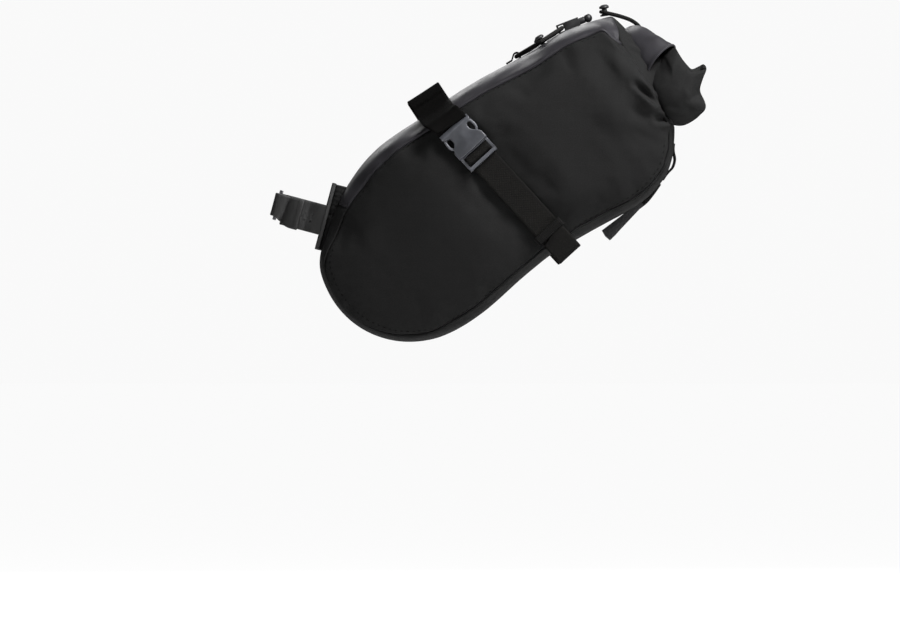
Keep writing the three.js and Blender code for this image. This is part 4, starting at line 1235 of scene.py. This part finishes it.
def wrap_piece(prefix):
    """Grip cloth from the top panel over the saddle rail and down to the buckle."""
    side = SIDES[prefix]
    reach = RAIL["radius"] + WRAP_BAND["clearance"]
    gauge = RAIL["half_gauge"]
    sewn_end = [(7.2, 9), (7.2, 16), (4.8, 21)]
    round_rail = np.radians(np.linspace(60, 300, 11))
    loop = [(reach * math.cos(a), gauge - reach * math.sin(a)) for a in round_rail]
    to_buckle = [(5.0, 33), (8.6, 40), (11, 49), (14.2, 57.5), (18, 64), (25, 66.4)]
    line = spline(sewn_end + loop + to_buckle, 70)
    beside_bag = line[:, 1] > 50
    drift = WRAP_BAND["shift"] * smoothstep(12, 24, line[:, 0]) * beside_bag
    path = [rail_place(side, down, out, shift) for (down, out), shift in zip(line, drift)]
    along_rail = np.array(rail_place(side, 0, 0, 1)) - np.array(rail_place(side, 0, 0, 0))
    widths = WRAP_BAND["width"] - WRAP_BAND["narrowing"] * smoothstep(14, 25, line[:, 0]) * beside_bag
    sections = [flat_section(width, WRAP_BAND["thickness"]) for width in widths]
    name = prefix + "_rail_wrap_cloth"
    obj = link(name, mesh_from(name, *sweep(path, along_rail, sections)))
    obj.data.materials.append(WRAP_CLOTH)
    seam = []
    for (down, out), over in zip(line[34:66:4], np.linspace(1.5, 2.5, 8)):
        seam.append(rail_place(side, down, out + 0.9, over))
    join_meshes(obj, (stitch_mesh("wrap_stitch", seam, [(0, side, 0.4)] * len(seam)), THREAD))
    finish_piece(obj, WRAP_CLOTH, "bag", [prefix + "_rail_wrap"], keep_slots=True)


def tab_piece(prefix):
    """Webbing between the rail wrap and the buckle."""
    side = SIDES[prefix]
    line = [(18, 60.6), (21, 61.6), from_buckle(-2, 1.9), from_buckle(1, 2.4), from_buckle(2.4, 2.8)]
    path = [strap_place(side, down, out) for down, out in spline(line, 16)]
    section = flat_section(TAB["width"], TAB["thickness"])
    name = prefix + "_buckle_tab_woven"
    swept_piece(
        name, path, strap_axis(side, over=1), section, WEBBING, "bag", prefix + "_buckle_tab"
    )


def keeper_piece(prefix):
    """Elastic loop round the webbing near the base seam."""
    side = SIDES[prefix]
    floor = strap_floor(KEEPER["down"])
    half, low, high = KEEPER["half"], floor - 0.3, floor + KEEPER["stand"]
    left_half = [(-half, low), (-half, high - 0.6), (-half + 0.8, high)]
    corners = left_half + [(-over, out) for over, out in left_half[::-1]]
    path = [strap_place(side, KEEPER["down"], out, over) for over, out in even(corners, 48)]
    section = flat_section(KEEPER["width"], KEEPER["thickness"])
    name = prefix + "_keeper_elastic"
    swept_piece(
        name, path, strap_axis(side, down=1), section, ELASTIC, "bag", prefix + "_strap_keeper"
    )


for prefix in SIDES:
    webbing_piece(prefix)
    female_piece(prefix)
    bevelled_copy(f"{prefix}_buckle_male", f"{prefix}_buckle_male_moulded", PLASTIC, 0.4, 3)
    arm_piece(prefix, "front", -1)
    arm_piece(prefix, "rear", 1)
    wrap_piece(prefix)
    tab_piece(prefix)
    keeper_piece(prefix)


# ---------------------------------------------------------------- seatpost pad and strap
PAD = {
    "half": 19.0, "top": 23.3, "foot": -23.6, "front": 2.2, "sunk": 4.0, "levels": 40, "around": 14,
    "squareness": 0.35,
}
def post_place(x, y, z):
    c, s = math.cos(POST_TILT), math.sin(POST_TILT)
    return (x * c + z * s, y, -x * s + z * c)


def pad_half_width(z, level):
    """Half width of the pad at a height: rounded ends, a crease across the middle and fine ribs."""
    end = min(1.0, 4.5 * min(level, PAD["levels"] - level) / PAD["levels"])
    crease = 1.6 * math.exp(-(((z - 2) / 1.2) ** 2))
    ribs = 0.35 * math.cos(2 * math.pi * z / 3.2) if z > 3 else 0.15 * math.cos(2 * math.pi * z / 6)
    return PAD["half"] - 2.2 * (1 - end) ** 2 - crease + ribs


def pad_piece():
    """Padded block between the seatpost and the bag, with ribs and a crease across its middle."""
    c, s = math.cos(POST_TILT), math.sin(POST_TILT)
    near = outline[:, 0] < 60
    depth = (outline[:, 0] * c - outline[:, 1] * s)[near]
    height = (outline[:, 0] * s + outline[:, 1] * c)[near]
    order = np.argsort(height)
    around = PAD["around"]
    points = []
    for i in range(PAD["levels"] + 1):
        z = PAD["foot"] + (PAD["top"] - PAD["foot"]) * i / PAD["levels"]
        half = pad_half_width(z, i)
        back = float(np.interp(z, height[order], depth[order])) + PAD["sunk"]
        middle, reach = (PAD["front"] + back) / 2, (back - PAD["front"]) / 2
        for k in range(around):
            angle = 2 * math.pi * (k + 0.5) / around
            cx, cy = math.cos(angle), math.sin(angle)
            px = abs(cx) ** PAD["squareness"] * math.copysign(1, cx)
            py = abs(cy) ** PAD["squareness"] * math.copysign(1, cy)
            points.append(post_place(middle + reach * px, half * py, z))
    faces = []
    for a in range(0, PAD["levels"] * around, around):
        for k in range(around):
            m = (k + 1) % around
            faces.append((a + k, a + m, a + around + m, a + around + k))
    faces.append(tuple(range(around)))
    faces.append(tuple(reversed(range(PAD["levels"] * around, (PAD["levels"] + 1) * around))))
    uvs = [(p[1], p[2]) for p in points]
    obj = link("seatpost_pad_cushion", mesh_from("seatpost_pad_cushion", points, faces, uvs))
    subdivide(obj)
    box_uv(obj.data)
    finish_piece(obj, WOVEN, "bag", ["seatpost_pad_spacer"])


pad_piece()

POST_STRAP = {"radius": POST_RADIUS + 1.2, "thickness": 1.6, "middle": -3.0, "width": 21.0, "top": 7.0}
HOLE = {"radius": 0.85, "x": -12.0, "y": -15.0, "z": -3.8, "pitch": 4.2, "row": 2.4}
POST_UP = np.array(post_place(0, 0, 1)) - np.array(post_place(0, 0, 0))


def hole_cutter():
    """Three rows of round pegs: two in the middle row and three in the rows above and below."""
    verts, faces = [], []
    for row in (-1, 0, 1):
        for step in (-1, 0, 1) if row else (-0.5, 0.5):
            x, z = HOLE["x"] + step * HOLE["pitch"], HOLE["z"] + row * HOLE["row"]
            base = len(verts)
            for y in (HOLE["y"] - 4, HOLE["y"] + 4):
                for dx, dz in round_section(HOLE["radius"]):
                    verts.append(post_place(x + dx, y, z + dz))
            faces.append(tuple(range(base, base + 10)))
            faces.append(tuple(range(base + 19, base + 9, -1)))
            for k in range(10):
                m = (k + 1) % 10
                faces.append((base + k, base + 10 + k, base + 10 + m, base + m))
    return link("drill", mesh_from("drill", verts, faces, smooth=False))


def post_strap_piece():
    """Grippy strap from the pad round the left of the post to the ring, with rows of small holes."""
    round_post = arc(-POST_RADIUS, 0, POST_STRAP["radius"], 282, 222, 8)
    line = spline([(1.2, -18.6), (-4.5, -17.2)] + round_post + [(-27.4, -8.1)], 60)
    path = [post_place(x, y, POST_STRAP["middle"]) for x, y in line]
    section = flat_section(POST_STRAP["width"], POST_STRAP["thickness"])
    obj = link("post_strap_band", mesh_from("post_strap_band", *sweep(path, POST_UP, section)))
    cut_away(obj, hole_cutter())
    obj.data.set_sharp_from_angle(angle=math.radians(38))
    finish_piece(obj, GRIP, "bag", ["post_strap"])


def post_tail_piece():
    """Free end of the strap, folded back over itself from the ring and widening to a thick rounded end."""
    over = POST_STRAP["radius"] + 2.1
    fold = [(-31.8, -5.0), (-34.4, -5.9), (-34.9, -8.4), (-33.6, -11.3), (-30.2, -12.0)]
    line = spline(fold + arc(-POST_RADIUS, 0, over, 222, 264, 6), 50)
    shares = np.linspace(0, 1, len(line))
    top = POST_STRAP["top"]
    foot = -9.0 - 5.4 * smoothstep(0.3, 0.85, shares)
    thick = 1.5 + 0.9 * smoothstep(0.86, 0.95, shares)
    path = [post_place(x, y, (top + low) / 2) for (x, y), low in zip(line, foot)]
    sections = [flat_section(width, t) for width, t in zip(top - foot, thick)]
    name = "post_strap_tail_band"
    swept_piece(name, path, POST_UP, sections, GRIP, "strap_tail", "post_strap_tail")


post_strap_piece()
post_tail_piece()
for part in ("post_strap_anchor", "seatpost_pad"):
    bevelled_copy(part, part + "_moulded", GRIP, 0.35)
bevelled_copy("post_strap_ring", "post_strap_ring_wire", STEEL, 0.5, 3)

# ---------------------------------------------------------------- top and rear hardware
for part in ("left_cord_hook", "right_cord_hook", "closure_hook", "cord_lock_body", "cord_lock_button"):
    bevelled_copy(part, part + "_moulded", BLACK_PLASTIC, 0.35)
bevelled_copy("rear_ladder_buckle", "rear_ladder_buckle_moulded", BLACK_PLASTIC, 0.5, 3)
bevelled_copy("cord_anchor_tab", "cord_anchor_tab_woven", ELASTIC, 0.25)
bevelled_copy("shock_cord", "shock_cord_braid", CORD, 0.05)


def spring_piece():
    """The cord lock's spring: a rounded copy of the CAD part, given a mesh of its own."""
    spring = bevelled_copy("cord_lock_spring", "cord_lock_spring_wire", STEEL, 0.02)
    co = coordinates(spring.data)
    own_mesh(spring)


def cord_loop_piece():
    """Loop of cord sewn to the top of the roll and hooked over the closure hook."""
    leg = [(218, 3, 127.6), (215.5, 3.2, 131), (211, 3.6, 134.2), (204, 4.2, 136.8), (197, 4.6, 138.6)]
    around = [(192.4, 3.4, 139.6), (190.2, 0, 140.0), (192.4, -3.4, 139.6)]
    points = leg + around + [(x, -y, z) for x, y, z in leg[::-1]]
    mesh = cord_mesh("closure_cord_loop_braid", points, 1.25, 90)
    finish_piece(link("closure_cord_loop_braid", mesh), CORD, "closure", ["closure_cord_loop"])


spring_piece()
cord_loop_piece()


def rear_tab_piece():
    """Short folded webbing block between the base seam and the ladder buckle's first bar."""
    line = spline([(229, 0, 23), (224.5, 0, 16.5), (220, 0, 11), (215.6, 0, 7.4)], 14)
    section = flat_section(19.0, 5.4)
    name = "rear_webbing_tab_woven"
    swept_piece(name, line, (0, 1, 0), section, ELASTIC, "bag", "rear_webbing_tab")


def light_loop_piece():
    """Webbing loop on the rear wall, sewn down at both ends and standing off between them."""
    start = outline_along[-1] - 38
    line = []
    half = [(0, 0), (0.14, 0), (0.24, 0.6), (0.4, 2.2)]
    for share, stand in half + [(0.6, 2.2), (0.76, 0.6), (0.86, 0), (1, 0)]:
        point, inward = on_outline(start + 26 * share)[:2]
        x, z = point - inward * (0.3 + stand)
        line.append((x, 0.0, z))
    name, section = "rear_light_loop_woven", flat_section(24, 1.4)
    swept_piece(name, spline(line, 40), (0, 1, 0), section, ELASTIC, "bag", "rear_light_loop")


rear_tab_piece()
light_loop_piece()


# ---------------------------------------------------------------- stage, light and camera
FLOOR = {"reach": 30.0, "z": -0.32, "glow": 0.875}


def stage():
    """A wide pale floor that meets an equally pale surround at the horizon."""
    r, z = FLOOR["reach"], FLOOR["z"]
    mesh = bpy.data.meshes.new("floor")
    mesh.from_pydata([(-r, -r, z), (r, -r, z), (r, r, z), (-r, r, z)], [], [(0, 1, 2, 3)])
    obj = link("floor", mesh)
    m, tree, shader = material("floor_pale", (0.8, 0.8, 0.8), 0.9, specular=0.1)
    speck = node(tree, "ShaderNodeTexNoise", Scale=3.0)
    tint = mix_colors(tree, speck.outputs["Fac"], (0.78, 0.78, 0.78), (0.82, 0.82, 0.82))
    tree.links.new(tint, shader.inputs["Base Color"])
    seen = node(tree, "ShaderNodeLightPath")
    shader.inputs["Emission Color"].default_value = (1, 1, 1, 1)
    glow = calc(tree, "MULTIPLY", seen.outputs["Is Camera Ray"], FLOOR["glow"])
    tree.links.new(glow, shader.inputs["Emission Strength"])
    mesh.materials.append(m)


def area_light(name, place, target, size, power):
    data = bpy.data.lights.new(name, "AREA")
    data.shape = "DISK"
    data.size = size
    data.energy = power
    obj = link(name, data)
    obj.location = place
    obj.rotation_euler = (Vector(target) - Vector(place)).to_track_quat("-Z", "Y").to_euler()


SURROUND = {"light": 0.1, "shown": 0.95}
CAMERA = {"x": 0.0867, "z": -0.0673, "distance": 7.0, "lens_per_metre": 58.8, "near_side": 0.06}
# Name, place, target, size in metres and power in watts.
LIGHTS = [
    ("key_above", (0.66, -0.5, 0.95), (0.2, 0, 0.09), 0.5, 22),
    ("fill_front", (-1.2, -2.6, 0.7), (0.11, 0, 0.03), 1.0, 4),
    ("fill_back", (-0.4, 2.2, 1.2), (0.11, 0, 0.03), 1.0, 22),
    ("rim_rear", (0.95, -0.75, 0.2), (0.2, 0, 0.04), 0.5, 3),
]


def light_and_camera():
    world = bpy.data.worlds.new("studio")
    bpy.context.scene.world = world
    world.use_nodes = True
    tree = world.node_tree
    background = tree.nodes["Background"]
    background.inputs["Color"].default_value = (1, 1, 1, 1)
    seen = node(tree, "ShaderNodeLightPath")
    shown = remap(tree, seen.outputs["Is Camera Ray"], 0, 1, SURROUND["light"], SURROUND["shown"])
    tree.links.new(shown, background.inputs["Strength"])
    for light in LIGHTS:
        area_light(*light)
    camera = bpy.data.cameras.new("camera")
    camera.sensor_width = 36
    camera.lens = CAMERA["lens_per_metre"] * (CAMERA["distance"] - CAMERA["near_side"])
    camera.clip_end = 100
    obj = link("camera", camera)
    obj.location = (CAMERA["x"], -CAMERA["distance"], CAMERA["z"])
    obj.rotation_euler = (math.pi / 2, 0, 0)
    bpy.context.scene.camera = obj
    bpy.context.scene.view_settings.view_transform = "Standard"


stage()
light_and_camera()


def plain(bounds):
    return [[float(v) for v in corner] for corner in bounds]
